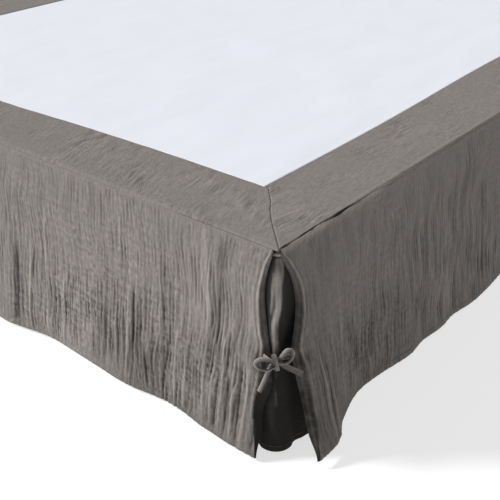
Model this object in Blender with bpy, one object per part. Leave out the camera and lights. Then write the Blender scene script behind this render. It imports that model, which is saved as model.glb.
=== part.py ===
"""Bed skirt of crinkled double gauze on a plain double bed base. Metres, +Z up.

A white platform sheet lies on the base inside a wide mitred border, and one skirt panel hangs from the
border on the foot and on each long side. At the two foot corners the panels part in a slit, backed by an
inset and closed by a pair of bow ties. The head end has no skirt. The foot faces -Y, and the origin is on
the floor at the middle of the footprint.
"""

import math
from collections import namedtuple

import bmesh
import bpy
from mathutils import Vector

# The skirt's outline round the top of the bed, and the base, which stands a little inside it
BED_WIDTH = 1.40
BED_LENGTH = 1.90
BASE_SETBACK = 0.005
BASE_TOP = 0.348
BASE_UNDERSIDE = 0.150
BASE_EDGE_RADIUS = 0.008
BASE_EDGE_STEPS = 3
LEG_TOP_RADIUS = 0.030
LEG_FOOT_RADIUS = 0.020
LEG_INSET = 0.080
LEG_SIDES = 20

# Cloth
CLOTH = 0.0018
GAP = 0.0005
UP = Vector((0.0, 0.0, 1.0))
SHARP_ANGLE = math.radians(45)

# Border: flat on the base, then rolled down over its edge as far as the skirt's seam
BORDER_FLAT = BASE_TOP + GAP + CLOTH / 2
ROLL_RADIUS = 0.003
ROLL_STEPS = 3
BORDER_STEP = 0.12
HEAD_HEM_SETBACK = 0.004

# Skirt: it starts at the seam and hangs for the length of the drop
SEAM_REACH = 0.0005
SEAM_HEIGHT = BORDER_FLAT - ROLL_RADIUS - GAP
DROP = 0.3415
FLARE_POWER = 1.3
HEM_REACH_MOST = 0.042
FOLD_STEP = 0.038
SLIT_STATIONS = (0.008, 0.018, 0.030, 0.045, 0.065)
TURN_STEPS = 3
TURN_POWER = 1.2
SLIT_BLEND = 0.100
DROP_STATIONS = (0.0, 0.06, 0.13, 0.21, 0.29, 0.38, 0.46, 0.55, 0.64, 0.76, 0.88, 1.0)

# Corner inset: hangs behind the slit, round the corner of the base
INSET_REACH = -0.0030
INSET_CORNER_RADIUS = 0.012
INSET_OVERLAP = 0.105
INSET_TOP = SEAM_HEIGHT - 0.003
INSET_DROP = 0.333
INSET_DROP_STATIONS = (0.0, 0.12, 0.28, 0.44, 0.60, 0.80, 1.0)

# Ties
TIE_THICKNESS = 0.0022
KNOT_HEIGHT = 0.176
KNOT_OUT = 0.018
KNOT_ALONG = -0.005
MM = 0.001

# The foot of the outline, set so that the hem's reach balances the head end about the origin.
FOOT_Y = -(BED_LENGTH - HEM_REACH_MOST) / 2
HEAD_Y = FOOT_Y + BED_LENGTH

# One row for each fold: how far from the side's first corner, and how far the hem stands out there.
Fold = namedtuple("Fold", "from_corner reach")
FOOT_FOLDS = [
    Fold(0.00, 0.0420),
    Fold(0.11, 0.0370),
    Fold(0.20, 0.0245),
    Fold(0.29, 0.0340),
    Fold(0.41, 0.0265),
    Fold(0.50, 0.0225),
    Fold(0.60, 0.0395),
    Fold(0.70, 0.0280),
    Fold(0.80, 0.0330),
    Fold(0.90, 0.0220),
    Fold(1.01, 0.0350),
    Fold(1.12, 0.0240),
    Fold(1.22, 0.0310),
    Fold(1.31, 0.0270),
    Fold(1.40, 0.0390),
]
RIGHT_FOLDS = [
    Fold(0.00, 0.0770),
    Fold(0.06, 0.0700),
    Fold(0.12, 0.0430),
    Fold(0.19, 0.0220),
    Fold(0.25, 0.0230),
    Fold(0.34, 0.0350),
    Fold(0.39, 0.0300),
    Fold(0.45, 0.0350),
    Fold(0.50, 0.0310),
    Fold(0.57, 0.0390),
    Fold(0.66, 0.0350),
    Fold(0.79, 0.0240),
    Fold(0.91, 0.0350),
    Fold(1.02, 0.0260),
    Fold(1.14, 0.0370),
    Fold(1.26, 0.0280),
    Fold(1.37, 0.0330),
    Fold(1.49, 0.0230),
    Fold(1.62, 0.0360),
    Fold(1.75, 0.0270),
    Fold(1.90, 0.0220),
]
LEFT_FOLDS = [
    Fold(0.00, 0.0740),
    Fold(0.07, 0.0640),
    Fold(0.14, 0.0360),
    Fold(0.23, 0.0240),
    Fold(0.34, 0.0350),
    Fold(0.45, 0.0250),
    Fold(0.55, 0.0330),
    Fold(0.66, 0.0280),
    Fold(0.78, 0.0380),
    Fold(0.90, 0.0250),
    Fold(1.01, 0.0310),
    Fold(1.13, 0.0230),
    Fold(1.25, 0.0370),
    Fold(1.38, 0.0290),
    Fold(1.50, 0.0340),
    Fold(1.63, 0.0240),
    Fold(1.76, 0.0330),
    Fold(1.90, 0.0240),
]

# The slit down the drop, as a share of it: how far the cut edge and the fold beside it stand back from
# the corner, how far the fold stands out, and how far the edge is turned in behind it. The ties draw
# the two panels together at just under half of the drop.
SlitEdge = namedtuple("SlitEdge", "share edge fold reach turned_in")
FOOT_SLIT = [
    SlitEdge(0.00, 0.0090, 0.0120, 0.0005, 0.0000),
    SlitEdge(0.06, 0.0140, 0.0205, 0.0014, 0.0010),
    SlitEdge(0.13, 0.0200, 0.0265, 0.0032, 0.0028),
    SlitEdge(0.21, 0.0235, 0.0303, 0.0056, 0.0050),
    SlitEdge(0.29, 0.0210, 0.0298, 0.0082, 0.0066),
    SlitEdge(0.38, 0.0150, 0.0245, 0.0114, 0.0080),
    SlitEdge(0.46, 0.0070, 0.0170, 0.0146, 0.0074),
    SlitEdge(0.55, 0.0030, 0.0175, 0.0182, 0.0084),
    SlitEdge(0.64, 0.0000, 0.0215, 0.0222, 0.0100),
    SlitEdge(0.76, 0.0110, 0.0245, 0.0278, 0.0115),
    SlitEdge(0.88, 0.0080, 0.0160, 0.0350, 0.0090),
    SlitEdge(1.00, 0.0065, 0.0085, 0.0420, 0.0020),
]
SIDE_SLIT = [
    SlitEdge(0.00, 0.0030, 0.0060, 0.0005, 0.0000),
    SlitEdge(0.06, 0.0100, 0.0200, 0.0024, 0.0019),
    SlitEdge(0.13, 0.0240, 0.0330, 0.0058, 0.0050),
    SlitEdge(0.21, 0.0340, 0.0420, 0.0105, 0.0094),
    SlitEdge(0.29, 0.0370, 0.0420, 0.0157, 0.0130),
    SlitEdge(0.38, 0.0260, 0.0320, 0.0218, 0.0120),
    SlitEdge(0.46, 0.0110, 0.0195, 0.0275, 0.0105),
    SlitEdge(0.55, 0.0110, 0.0245, 0.0345, 0.0125),
    SlitEdge(0.64, 0.0140, 0.0280, 0.0425, 0.0155),
    SlitEdge(0.76, 0.0165, 0.0260, 0.0525, 0.0155),
    SlitEdge(0.88, 0.0125, 0.0230, 0.0640, 0.0130),
    SlitEdge(1.00, 0.0060, 0.0100, 0.0765, 0.0030),
]

# How wide the border is along its side. Its seam with the platform sheet isn't quite straight.
BorderWidth = namedtuple("BorderWidth", "from_corner width")
FOOT_BORDER = [
    BorderWidth(0.14, 0.143),
    BorderWidth(0.33, 0.143),
    BorderWidth(0.55, 0.137),
    BorderWidth(0.75, 0.127),
    BorderWidth(0.98, 0.134),
    BorderWidth(1.26, 0.143),
]
SIDE_BORDER = [
    BorderWidth(0.14, 0.139),
    BorderWidth(0.47, 0.140),
    BorderWidth(0.94, 0.154),
    BorderWidth(1.40, 0.145),
    BorderWidth(1.90, 0.141),
]

# The inset's folds at its hem, across its width from the foot side to the long side.
InsetFold = namedtuple("InsetFold", "across reach")
INSET_FOLDS = [
    InsetFold(-0.115, 0.004),
    InsetFold(-0.070, 0.012),
    InsetFold(-0.034, 0.008),
    InsetFold(-0.014, 0.019),
    InsetFold(0.002, 0.025),
    InsetFold(0.020, 0.019),
    InsetFold(0.038, 0.024),
    InsetFold(0.070, 0.026),
    InsetFold(0.115, 0.006),
]
INSET_RIDGE = 0.007
INSET_RIDGE_WIDTH = 0.006
INSET_RIDGE_START = 0.2
INSET_FLARE_POWER = 2
INSET_STATIONS = (
    -INSET_OVERLAP, -0.085, -0.066, -0.050, -0.036, -0.025, -0.017, -0.010, -0.004, 0.002,
    0.008, 0.014, 0.021, 0.029, 0.039, 0.052, 0.068, 0.086, INSET_OVERLAP,
)

# The ties' routes, in millimetres from the knot's middle: along the corner, up, and out from it. face
# is the way that the tape's flat side looks, and width is less where the knot gathers it.
Stop = namedtuple("Stop", "along up out face width")
ACROSS, OUTWARD = (1, 0, 0), (0, 0, 1)
FOOT_TIE = [
    Stop(-15.0, 3.0, -13.5, (-0.9, 0, 0.5), 8.5),
    Stop(-11.5, 2.0, -8.0, (-0.8, 0, 0.6), 8.0),
    Stop(-6.0, 1.0, -3.0, (-0.5, 0, 1), 7.0),
    Stop(0.0, 0.0, -1.6, OUTWARD, 6.0),
    Stop(6.0, 3.8, -1.2, (-0.3, 0.4, 0.8), 6.0),
    Stop(11.0, 11.5, -0.8, (-0.5, 0.4, 0.8), 7.0),
    Stop(17.0, 18.0, -1.0, (-0.1, 0.6, 0.8), 8.0),
    Stop(23.5, 16.0, -1.5, (0.5, 0.4, 0.8), 8.5),
    Stop(24.5, 8.0, -1.5, (0.6, -0.1, 0.8), 8.5),
    Stop(19.5, 0.5, 0.5, (0.3, -0.6, 0.8), 8.0),
    Stop(13.0, -1.5, 2.0, (0.0, -0.4, 0.9), 7.0),
    Stop(7.0, -1.0, 2.0, (0.0, -0.2, 1), 6.0),
    Stop(0.0, 0.0, 1.6, OUTWARD, 6.0),
    Stop(-6.0, -3.5, 1.6, (-0.1, 0.2, 1), 6.0),
    Stop(-9.5, -12.0, 2.0, (-0.3, 0.15, 0.9), 7.0),
    Stop(-14.0, -25.0, 2.0, (-0.45, 0.2, 0.85), 7.5),
    Stop(-18.5, -38.0, 1.0, (-0.5, 0.25, 0.8), 7.5),
    Stop(-22.5, -50.0, -0.5, (-0.5, 0.3, 0.8), 7.5),
]
SIDE_TIE_ROOT = [
    Stop(24.0, 4.5, -8.0, (0.2, 0, 1), 8.5),
    Stop(17.0, 3.5, -7.2, (0.1, 0, 1), 8.0),
    Stop(9.0, 1.8, -6.6, (0.1, 0, 1), 7.0),
    Stop(2.5, 1.5, -5.0, OUTWARD, 6.0),
]
SIDE_TIE_LOOP = [
    Stop(1.0, 2.6, 5.2, (0.0, 0.3, 1), 3.6),
    Stop(-5.0, 5.0, 5.8, (0.0, 0.45, 0.9), 5.0),
    Stop(-12.0, 8.6, 5.6, (0.0, 0.6, 0.8), 6.5),
    Stop(-20.0, 9.4, 4.0, (-0.15, 0.6, 0.8), 7.5),
    Stop(-27.0, 5.0, 2.0, (-0.5, 0.35, 0.8), 7.5),
    Stop(-28.5, -1.5, 1.5, (-0.6, -0.2, 0.8), 7.5),
    Stop(-23.5, -6.5, 4.0, (-0.3, -0.55, 0.8), 7.0),
    Stop(-15.5, -7.5, 7.2, (0.0, -0.55, 0.8), 6.5),
    Stop(-9.5, -6.0, 8.8, (0.1, -0.4, 0.9), 6.0),
    Stop(-4.5, -4.2, 7.4, (0.0, -0.35, 0.9), 5.0),
    Stop(1.0, -2.6, 5.2, (0, -0.3, 1), 3.6),
]
SIDE_TIE_TAIL = [
    Stop(1.5, -3.0, -5.0, OUTWARD, 5.0),
    Stop(8.0, -6.5, -6.0, (0.0, 0.3, 1), 7.0),
    Stop(16.0, -10.5, -3.5, (-0.2, 0.3, 1), 8.5),
    Stop(26.0, -14.5, 0.5, (-0.3, 0.4, 1), 8.5),
    Stop(39.0, -20.0, 3.5, (-0.3, 0.4, 1), 8.5),
]
WRAP_HALF_HEIGHT = 12.5
WRAP_HALF_DEPTH = 5.0
WRAP_WIDTH = 7.5
WRAP_LEAN = -0.2
WRAP_STEPS = 16
ROUTE_STEPS = 3
# Six points round the tape, as shares of its width and thickness: two thin edges and a flat on each side
TAPE_SECTION = ((0.5, 0), (0.3, 0.5), (-0.3, 0.5), (-0.5, 0), (-0.3, -0.5), (0.3, -0.5))

# A side of the base: its first corner, the way along it, and the way out from it.
Side = namedtuple("Side", "corner along outward length")
RIGHT_X = BED_WIDTH / 2
FOOT = Side(Vector((RIGHT_X, FOOT_Y, 0)), Vector((-1, 0, 0)), Vector((0, -1, 0)), BED_WIDTH)
RIGHT = Side(Vector((RIGHT_X, FOOT_Y, 0)), Vector((0, 1, 0)), Vector((1, 0, 0)), BED_LENGTH)
LEFT = Side(Vector((-RIGHT_X, FOOT_Y, 0)), Vector((0, 1, 0)), Vector((-1, 0, 0)), BED_LENGTH)


def clear_scene():
    for obj in list(bpy.data.objects):
        bpy.data.objects.remove(obj, do_unlink=True)


def material(name, colour, roughness):
    made = bpy.data.materials.new(name)
    made.use_nodes = True
    surface = made.node_tree.nodes["Principled BSDF"]
    surface.inputs["Base Color"].default_value = (*colour, 1.0)
    surface.inputs["Roughness"].default_value = roughness
    surface.inputs["Metallic"].default_value = 0.0
    return made


def add_object(name, bm, finish):
    """An object of this bmesh, with its faces pointing out and its round parts shaded smooth."""
    bmesh.ops.recalc_face_normals(bm, faces=bm.faces)
    mesh = bpy.data.meshes.new(name)
    bm.to_mesh(mesh)
    bm.free()
    mesh.materials.append(finish)
    mesh.shade_smooth()
    mesh.set_sharp_from_angle(angle=SHARP_ANGLE)
    obj = bpy.data.objects.new(name, mesh)
    bpy.context.collection.objects.link(obj)
    return obj


def smooth_step(value):
    t = min(max(value, 0.0), 1.0)
    return t * t * (3 - 2 * t)


def mix(a, b, share):
    return a + (b - a) * share


def read_table(table, at, column):
    """The named column at a place between the rows, on a curve whose slope is level at the outer rows."""
    first = table[0]._fields[0]
    places = [getattr(row, first) for row in table]
    values = [getattr(row, column) for row in table]
    if at <= places[0]:
        return values[0]
    if at >= places[-1]:
        return values[-1]
    i = max(k for k in range(len(places) - 1) if places[k] <= at)

    def slope(k):
        if k in (0, len(places) - 1):
            return 0.0
        return (values[k + 1] - values[k - 1]) / (places[k + 1] - places[k - 1])

    span = places[i + 1] - places[i]
    t = (at - places[i]) / span
    rise = (
        (2 * t**3 - 3 * t**2 + 1) * values[i]
        + (t**3 - 2 * t**2 + t) * span * slope(i)
        + (3 * t**2 - 2 * t**3) * values[i + 1]
        + (t**3 - t**2) * span * slope(i + 1)
    )
    return rise


def evenly(start, end, count):
    """This many even steps from start to end, with both of them included."""
    return [mix(start, end, i / count) for i in range(count + 1)]


def at_side(side, along, reach, height):
    return side.corner + side.along * along + side.outward * reach + UP * height


def cloth_from_rows(name, rows, finish):
    """A sheet of cloth whose middle surface runs through these rows of points."""
    bm = bmesh.new()
    grid = [[bm.verts.new(point) for point in row] for row in rows]
    for upper, lower in zip(grid, grid[1:]):
        for i in range(len(upper) - 1):
            bm.faces.new((upper[i], lower[i], lower[i + 1], upper[i + 1]))
    obj = add_object(name, bm, finish)
    solidify = obj.modifiers.new("cloth_thickness", "SOLIDIFY")
    solidify.thickness = CLOTH
    solidify.offset = 0.0
    return obj


def shell_from_sides(name, outer, inner, finish):
    """One closed piece between two grids of points, joined round their rim."""
    bm = bmesh.new()
    skins = [[[bm.verts.new(point) for point in row] for row in grid] for grid in (outer, inner)]
    for skin in skins:
        for upper, lower in zip(skin, skin[1:]):
            for i in range(len(upper) - 1):
                bm.faces.new((upper[i], lower[i], lower[i + 1], upper[i + 1]))
    bmesh.ops.bridge_loops(bm, edges=[edge for edge in bm.edges if edge.is_boundary])
    return add_object(name, bm, finish)


def prism(name, outline, low, high, finish):
    """A flat piece with this outline of (x, y) points."""
    bm = bmesh.new()
    face = bm.faces.new([bm.verts.new((x, y, low)) for x, y in outline])
    lifted = bmesh.ops.extrude_face_region(bm, geom=[face])["geom"]
    points = [item for item in lifted if isinstance(item, bmesh.types.BMVert)]
    bmesh.ops.translate(bm, vec=UP * (high - low), verts=points)
    return add_object(name, bm, finish)


# ---- bed base -------------------------------------------------------------------------------------


def build_base(finish):
    size = Vector((BED_WIDTH - 2 * BASE_SETBACK, BED_LENGTH - BASE_SETBACK, BASE_TOP - BASE_UNDERSIDE))
    bm = bmesh.new()
    bmesh.ops.create_cube(bm, size=1.0)
    bmesh.ops.scale(bm, vec=size, verts=bm.verts)
    middle = Vector((0, (FOOT_Y + BASE_SETBACK + HEAD_Y) / 2, (BASE_TOP + BASE_UNDERSIDE) / 2))
    bmesh.ops.translate(bm, vec=middle, verts=bm.verts)
    base = add_object("bed_base", bm, finish)
    bevel = base.modifiers.new("rounded_edges", "BEVEL")
    bevel.width = BASE_EDGE_RADIUS
    bevel.segments = BASE_EDGE_STEPS


def build_legs(finish):
    """Six tapered legs, three under each long side."""
    top = BASE_UNDERSIDE - GAP
    across = BED_WIDTH / 2 - LEG_INSET
    lengthwise = (
        ("foot", FOOT_Y + LEG_INSET),
        ("middle", (FOOT_Y + HEAD_Y) / 2),
        ("head", HEAD_Y - LEG_INSET),
    )
    for side_name, x in (("left", -across), ("right", across)):
        for place, y in lengthwise:
            bm = bmesh.new()
            bmesh.ops.create_cone(
                bm,
                cap_ends=True,
                segments=LEG_SIDES,
                radius1=LEG_FOOT_RADIUS,
                radius2=LEG_TOP_RADIUS,
                depth=top,
            )
            bmesh.ops.translate(bm, vec=(0, 0, top / 2), verts=bm.verts)
            leg = add_object(f"leg_{place}_{side_name}", bm, finish)
            leg.location = (x, y, 0)


# ---- platform sheet and border --------------------------------------------------------------------


def border_profile(width, offset):
    """(reach, height) across the border, from its inner seam to the skirt's seam, offset from its middle."""
    flat_end = SEAM_REACH - ROLL_RADIUS
    points = [(mix(-width, flat_end, share), BORDER_FLAT + offset) for share in (0.0, 0.5)]
    radius = ROLL_RADIUS + offset
    for step in range(ROLL_STEPS + 1):
        turn = math.pi / 2 * step / ROLL_STEPS
        points.append(
            (
                flat_end + radius * math.sin(turn),
                BORDER_FLAT - ROLL_RADIUS + radius * math.cos(turn),
            )
        )
    return points


def border_places(side, widths, neighbour_widths, mitred_ends, reach):
    """Places along the strip's edge at this reach. A mitre runs from the inner corner to the outer one."""
    slant = neighbour_widths[0].width / widths[0].width if reach < 0 else 1.0
    start = -reach * slant + GAP / 2
    end = side.length - (start if mitred_ends == 2 else HEAD_HEM_SETBACK)
    return evenly(start, end, round(side.length / BORDER_STEP))


def build_border(name, side, widths, neighbour_widths, mitred_ends, finish):
    """A strip along one side of the bed, with a mitre at one end or at both."""
    skins = []
    for offset in (CLOTH / 2, -CLOTH / 2):
        lines = []
        for rank, (plain_reach, _) in enumerate(border_profile(widths[0].width, offset)):
            line = []
            for along in border_places(side, widths, neighbour_widths, mitred_ends, plain_reach):
                reach, height = border_profile(read_table(widths, along, "width"), offset)[rank]
                line.append(at_side(side, along, reach, height))
            lines.append(line)
        skins.append(lines)
    return shell_from_sides(name, *skins, finish)


def platform_outline():
    """The platform sheet's outline just inside the three border strips, plain across the head end."""

    def seam(side, widths, neighbour_widths, mitred_ends):
        places = border_places(side, widths, neighbour_widths, mitred_ends, -widths[0].width)
        return [at_side(side, s, -read_table(widths, s, "width") - GAP, 0) for s in places]

    foot = seam(FOOT, FOOT_BORDER, SIDE_BORDER, 2)
    left = seam(LEFT, SIDE_BORDER, FOOT_BORDER, 1)
    right = seam(RIGHT, SIDE_BORDER, FOOT_BORDER, 1)
    inner_corners = [Vector((end.x, foot[0].y, 0)) for end in (left[0], right[0])]
    loop = foot[1:-1] + [inner_corners[0]] + left[1:] + right[:0:-1] + [inner_corners[1]]
    return [(point.x, point.y) for point in loop]


# ---- skirt panels ---------------------------------------------------------------------------------


def body_reach(folds, along, share):
    """How far the panel stands out from the base at a share of the drop, away from its slit edge."""
    hem = read_table(folds, along, "reach")
    return mix(SEAM_REACH, hem, share**FLARE_POWER)


def hanging_height(top, drop, share, lean):
    """The height of a point that hangs a share of the drop below the top, once the cloth leans out."""
    return top - math.sqrt(max((drop * share) ** 2 - lean**2, 0.0))


def slit_end(slit, folds, share, far_length):
    """(along, reach) from the cut edge over the fold to the plain folds. far_length turns the end round."""
    edge, fold, fold_reach, turned_in = (
        read_table(slit, share, column) for column in ("edge", "fold", "reach", "turned_in")
    )
    points = []
    for step in range(TURN_STEPS, 0, -1):
        bend = step / TURN_STEPS
        points.append((mix(fold, edge, bend), fold_reach - turned_in * bend**TURN_POWER))
    for further in (0.0, *SLIT_STATIONS):
        along = fold + further
        place = far_length - along if far_length else along
        blend = smooth_step(further / SLIT_BLEND)
        points.append((along, mix(fold_reach, body_reach(folds, place, share), blend)))
    return points


def build_skirt(name, side, folds, slit, slit_ends, finish):
    """A panel that hangs from the border's seam. It has a curled slit edge at one end or at both."""
    rows = []
    for share in DROP_STATIONS:
        first = slit_end(slit, folds, share, None)
        if slit_ends == 2:
            last = [(side.length - s, reach) for s, reach in slit_end(slit, folds, share, side.length)]
        else:
            last = [(side.length, body_reach(folds, side.length, share))]
        last.reverse()
        middle = []
        for s in evenly(first[-1][0], last[0][0], round(side.length / FOLD_STEP))[1:-1]:
            blend = smooth_step((s - first[0][0]) / SLIT_BLEND)
            far = smooth_step((last[-1][0] - s) / SLIT_BLEND) if slit_ends == 2 else 1.0
            near_edge = mix(read_table(slit, share, "reach"), body_reach(folds, s, share), blend * far)
            middle.append((s, near_edge))
        row = []
        for s, reach in first + middle + last:
            height = hanging_height(SEAM_HEIGHT, DROP, share, reach - SEAM_REACH)
            row.append(at_side(side, s, reach, height))
        rows.append(row)
    return cloth_from_rows(name, rows, finish)


# ---- corner insets --------------------------------------------------------------------------------


def inset_path(across, reach):
    """A point (along the foot side, out from it) at this distance round the corner, set out by reach."""
    radius = INSET_CORNER_RADIUS
    arc = radius * math.pi / 2
    if across < -arc / 2:
        return across + arc / 2 - radius, reach
    if across > arc / 2:
        return reach, -(across - arc / 2 + radius)
    turn = math.pi / 4 + across / radius
    out = radius + reach
    return -radius + out * math.sin(turn), -radius + out * math.cos(turn)


def build_inset(name, mirror, finish):
    """The panel behind a slit. Its middle ridge stands in the slit, and its hem flares round the corner."""
    rows = []
    for share in INSET_DROP_STATIONS:
        ridge_share = smooth_step(share / INSET_RIDGE_START)
        row = []
        for across in INSET_STATIONS:
            hem = read_table(INSET_FOLDS, across, "reach")
            ridge = INSET_RIDGE * math.exp(-((across / INSET_RIDGE_WIDTH) ** 2)) * ridge_share
            flare = max((hem - ridge) * share**INSET_FLARE_POWER, 0.0)
            x, y = inset_path(across, INSET_REACH + CLOTH / 2 + ridge + flare)
            height = hanging_height(INSET_TOP, INSET_DROP, share, flare)
            corner = Vector((mirror * RIGHT_X, FOOT_Y, height))
            row.append(corner + Vector((mirror * x, -y, 0)))
        rows.append(row)
    return cloth_from_rows(name, rows, finish)


# ---- ties -----------------------------------------------------------------------------------------


def knot_frame(mirror):
    """The knot's middle and its directions: along the corner, up, and out from it."""
    along = Vector((mirror, 1, 0)).normalized()
    outward = Vector((mirror, -1, 0)).normalized()
    corner = Vector((mirror * RIGHT_X, FOOT_Y, KNOT_HEIGHT))
    return corner + along * KNOT_ALONG + outward * KNOT_OUT, (along, UP, outward)


def from_knot(frame, along, up, out):
    middle, (e1, e2, e3) = frame
    return middle + (e1 * along + e2 * up + e3 * out) * MM


def turned(frame, direction):
    e1, e2, e3 = frame[1]
    return (e1 * direction[0] + e2 * direction[1] + e3 * direction[2]).normalized()


def smooth_route(frame, stops):
    """(point, face, width) rows on a smooth curve through the stops."""
    points = [from_knot(frame, stop.along, stop.up, stop.out) for stop in stops]
    faces = [turned(frame, stop.face) for stop in stops]
    route = []
    for i in range(len(points) - 1):
        before = points[max(i - 1, 0)]
        after = points[min(i + 2, len(points) - 1)]
        start_pull = (points[i + 1] - before) / 2
        end_pull = (after - points[i]) / 2
        for step in range(ROUTE_STEPS):
            t = step / ROUTE_STEPS
            point = (
                (2 * t**3 - 3 * t**2 + 1) * points[i]
                + (t**3 - 2 * t**2 + t) * start_pull
                + (3 * t**2 - 2 * t**3) * points[i + 1]
                + (t**3 - t**2) * end_pull
            )
            width = mix(stops[i].width, stops[i + 1].width, t)
            route.append((point, mix(faces[i], faces[i + 1], t).normalized(), width))
    route.append((points[-1], faces[-1], stops[-1].width))
    return route


def tape_section(centre, across, face, width):
    return [centre + across * (a * width * MM) + face * (b * TIE_THICKNESS) for a, b in TAPE_SECTION]


def add_rings(bm, rings, closed):
    """Skins these rings of points in order, and caps the two ends of an open run."""
    loops = [[bm.verts.new(point) for point in ring] for ring in rings]
    pairs = list(zip(loops, loops[1:] + loops[:1])) if closed else list(zip(loops, loops[1:]))
    for first, second in pairs:
        for i in range(len(first)):
            j = (i + 1) % len(first)
            bm.faces.new((first[i], first[j], second[j], second[i]))
    if not closed:
        bm.faces.new(loops[0])
        bm.faces.new(loops[-1])


def tape(name, frame, stops, finish):
    """A flat tape along a route, with its flat side facing the way that the stops say."""
    route = smooth_route(frame, stops)
    rings = []
    for i, (point, face, width) in enumerate(route):
        ahead = route[min(i + 1, len(route) - 1)][0] - route[max(i - 1, 0)][0]
        across = ahead.cross(face).normalized()
        square_face = across.cross(ahead).normalized()
        rings.append(tape_section(point, across, square_face, width))
    bm = bmesh.new()
    add_rings(bm, rings, closed=False)
    return add_object(name, bm, finish)


def wrap(name, frame, finish):
    """The turn of the side tie that goes round the foot tie in the middle of the bow."""
    rings = []
    for step in range(WRAP_STEPS):
        angle = 2 * math.pi * step / WRAP_STEPS
        up, out = WRAP_HALF_HEIGHT * math.cos(angle), WRAP_HALF_DEPTH * math.sin(angle)
        centre = from_knot(frame, WRAP_LEAN * up, up, out)
        face = turned(frame, (0, math.cos(angle) / WRAP_HALF_HEIGHT, math.sin(angle) / WRAP_HALF_DEPTH))
        rings.append(tape_section(centre, turned(frame, ACROSS), face, WRAP_WIDTH))
    bm = bmesh.new()
    add_rings(bm, rings, closed=True)
    return add_object(name, bm, finish)


def build_ties(corner_name, mirror, finish):
    """The foot tie makes one loop and a tail. The side tie wraps it, and makes the other loop and tail."""
    frame = knot_frame(mirror)
    tape(f"tie_foot_{corner_name}", frame, FOOT_TIE, finish)
    side_tie = wrap(f"tie_side_{corner_name}", frame, finish)
    for part_name, stops in (("root", SIDE_TIE_ROOT), ("loop", SIDE_TIE_LOOP), ("tail", SIDE_TIE_TAIL)):
        helper = tape(f"helper_{part_name}_{corner_name}", frame, stops, finish)
        helper.hide_render = True
        helper.display_type = "WIRE"
        union = side_tie.modifiers.new(f"join_{part_name}", "BOOLEAN")
        union.operation = "UNION"
        union.object = helper


def main():
    clear_scene()
    gauze = material("grey_double_gauze", (0.235, 0.222, 0.205), 0.9)
    white = material("white_cotton", (0.80, 0.80, 0.84), 0.85)
    ticking = material("base_ticking", (0.62, 0.60, 0.56), 0.85)
    wood = material("leg_wood", (0.42, 0.27, 0.15), 0.5)

    build_base(ticking)
    build_legs(wood)
    prism("platform_sheet", platform_outline(), BASE_TOP + GAP, BASE_TOP + GAP + CLOTH, white)
    build_border("border_foot", FOOT, FOOT_BORDER, SIDE_BORDER, 2, gauze)
    build_border("border_right", RIGHT, SIDE_BORDER, FOOT_BORDER, 1, gauze)
    build_border("border_left", LEFT, SIDE_BORDER, FOOT_BORDER, 1, gauze)
    build_skirt("skirt_foot", FOOT, FOOT_FOLDS, FOOT_SLIT, 2, gauze)
    build_skirt("skirt_right", RIGHT, RIGHT_FOLDS, SIDE_SLIT, 1, gauze)
    build_skirt("skirt_left", LEFT, LEFT_FOLDS, SIDE_SLIT, 1, gauze)
    for corner_name, mirror in (("right", 1), ("left", -1)):
        build_inset(f"inset_{corner_name}", mirror, gauze)
        build_ties(corner_name, mirror, gauze)


main()
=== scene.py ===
import math
from collections import namedtuple

import bmesh
import bpy
import numpy as np
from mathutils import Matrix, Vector


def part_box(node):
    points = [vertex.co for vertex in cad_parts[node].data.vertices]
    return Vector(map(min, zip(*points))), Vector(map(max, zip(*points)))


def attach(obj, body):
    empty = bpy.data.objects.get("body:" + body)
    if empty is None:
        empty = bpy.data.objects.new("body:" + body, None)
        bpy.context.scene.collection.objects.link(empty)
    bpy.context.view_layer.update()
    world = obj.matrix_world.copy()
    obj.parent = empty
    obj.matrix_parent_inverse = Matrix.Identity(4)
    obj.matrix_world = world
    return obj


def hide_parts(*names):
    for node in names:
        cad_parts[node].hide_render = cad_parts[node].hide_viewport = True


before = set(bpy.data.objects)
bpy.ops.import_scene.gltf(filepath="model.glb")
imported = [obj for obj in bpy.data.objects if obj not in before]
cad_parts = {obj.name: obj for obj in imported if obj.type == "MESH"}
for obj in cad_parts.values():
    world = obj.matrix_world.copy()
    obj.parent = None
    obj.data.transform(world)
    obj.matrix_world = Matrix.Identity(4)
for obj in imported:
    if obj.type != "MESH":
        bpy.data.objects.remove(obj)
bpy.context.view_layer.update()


# ---- Studio ------------------------------
# A pale floor and soft daylight from the left of the foot. The camera stands beyond the right foot
# corner at chest height and looks down on it.

CAMERA_PLACE = Vector((1.367, -1.810, 0.962))
CAMERA_YAW, CAMERA_PITCH = math.radians(-39.17), math.radians(29.03)
CAMERA_LENS, CAMERA_SENSOR = 67.3, 36.0
# Each light: its name, the way that it shines, its strength, and how wide it looks in degrees
LIGHTS = (
    ("window_light", Vector((0.66, 0.43, -0.62)), 3.99, 11),
    ("far_window_light", Vector((-0.40, -0.70, -0.60)), 0.62, 20),
)
# The sky is brightest where it faces this way, and dark where the cosine to it is below the fade
SKY_TOWARDS = Vector((-0.55, -0.15, 0.82))
SKY_FADE = -0.2
SKY_BRIGHTEST = 0.30
SKY_COLOUR = (0.98, 0.99, 1.0, 1.0)
FLOOR_GLOW = 0.68
FLOOR_REACH = 20

scene = bpy.context.scene
scene.view_settings.view_transform = "Standard"

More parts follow.
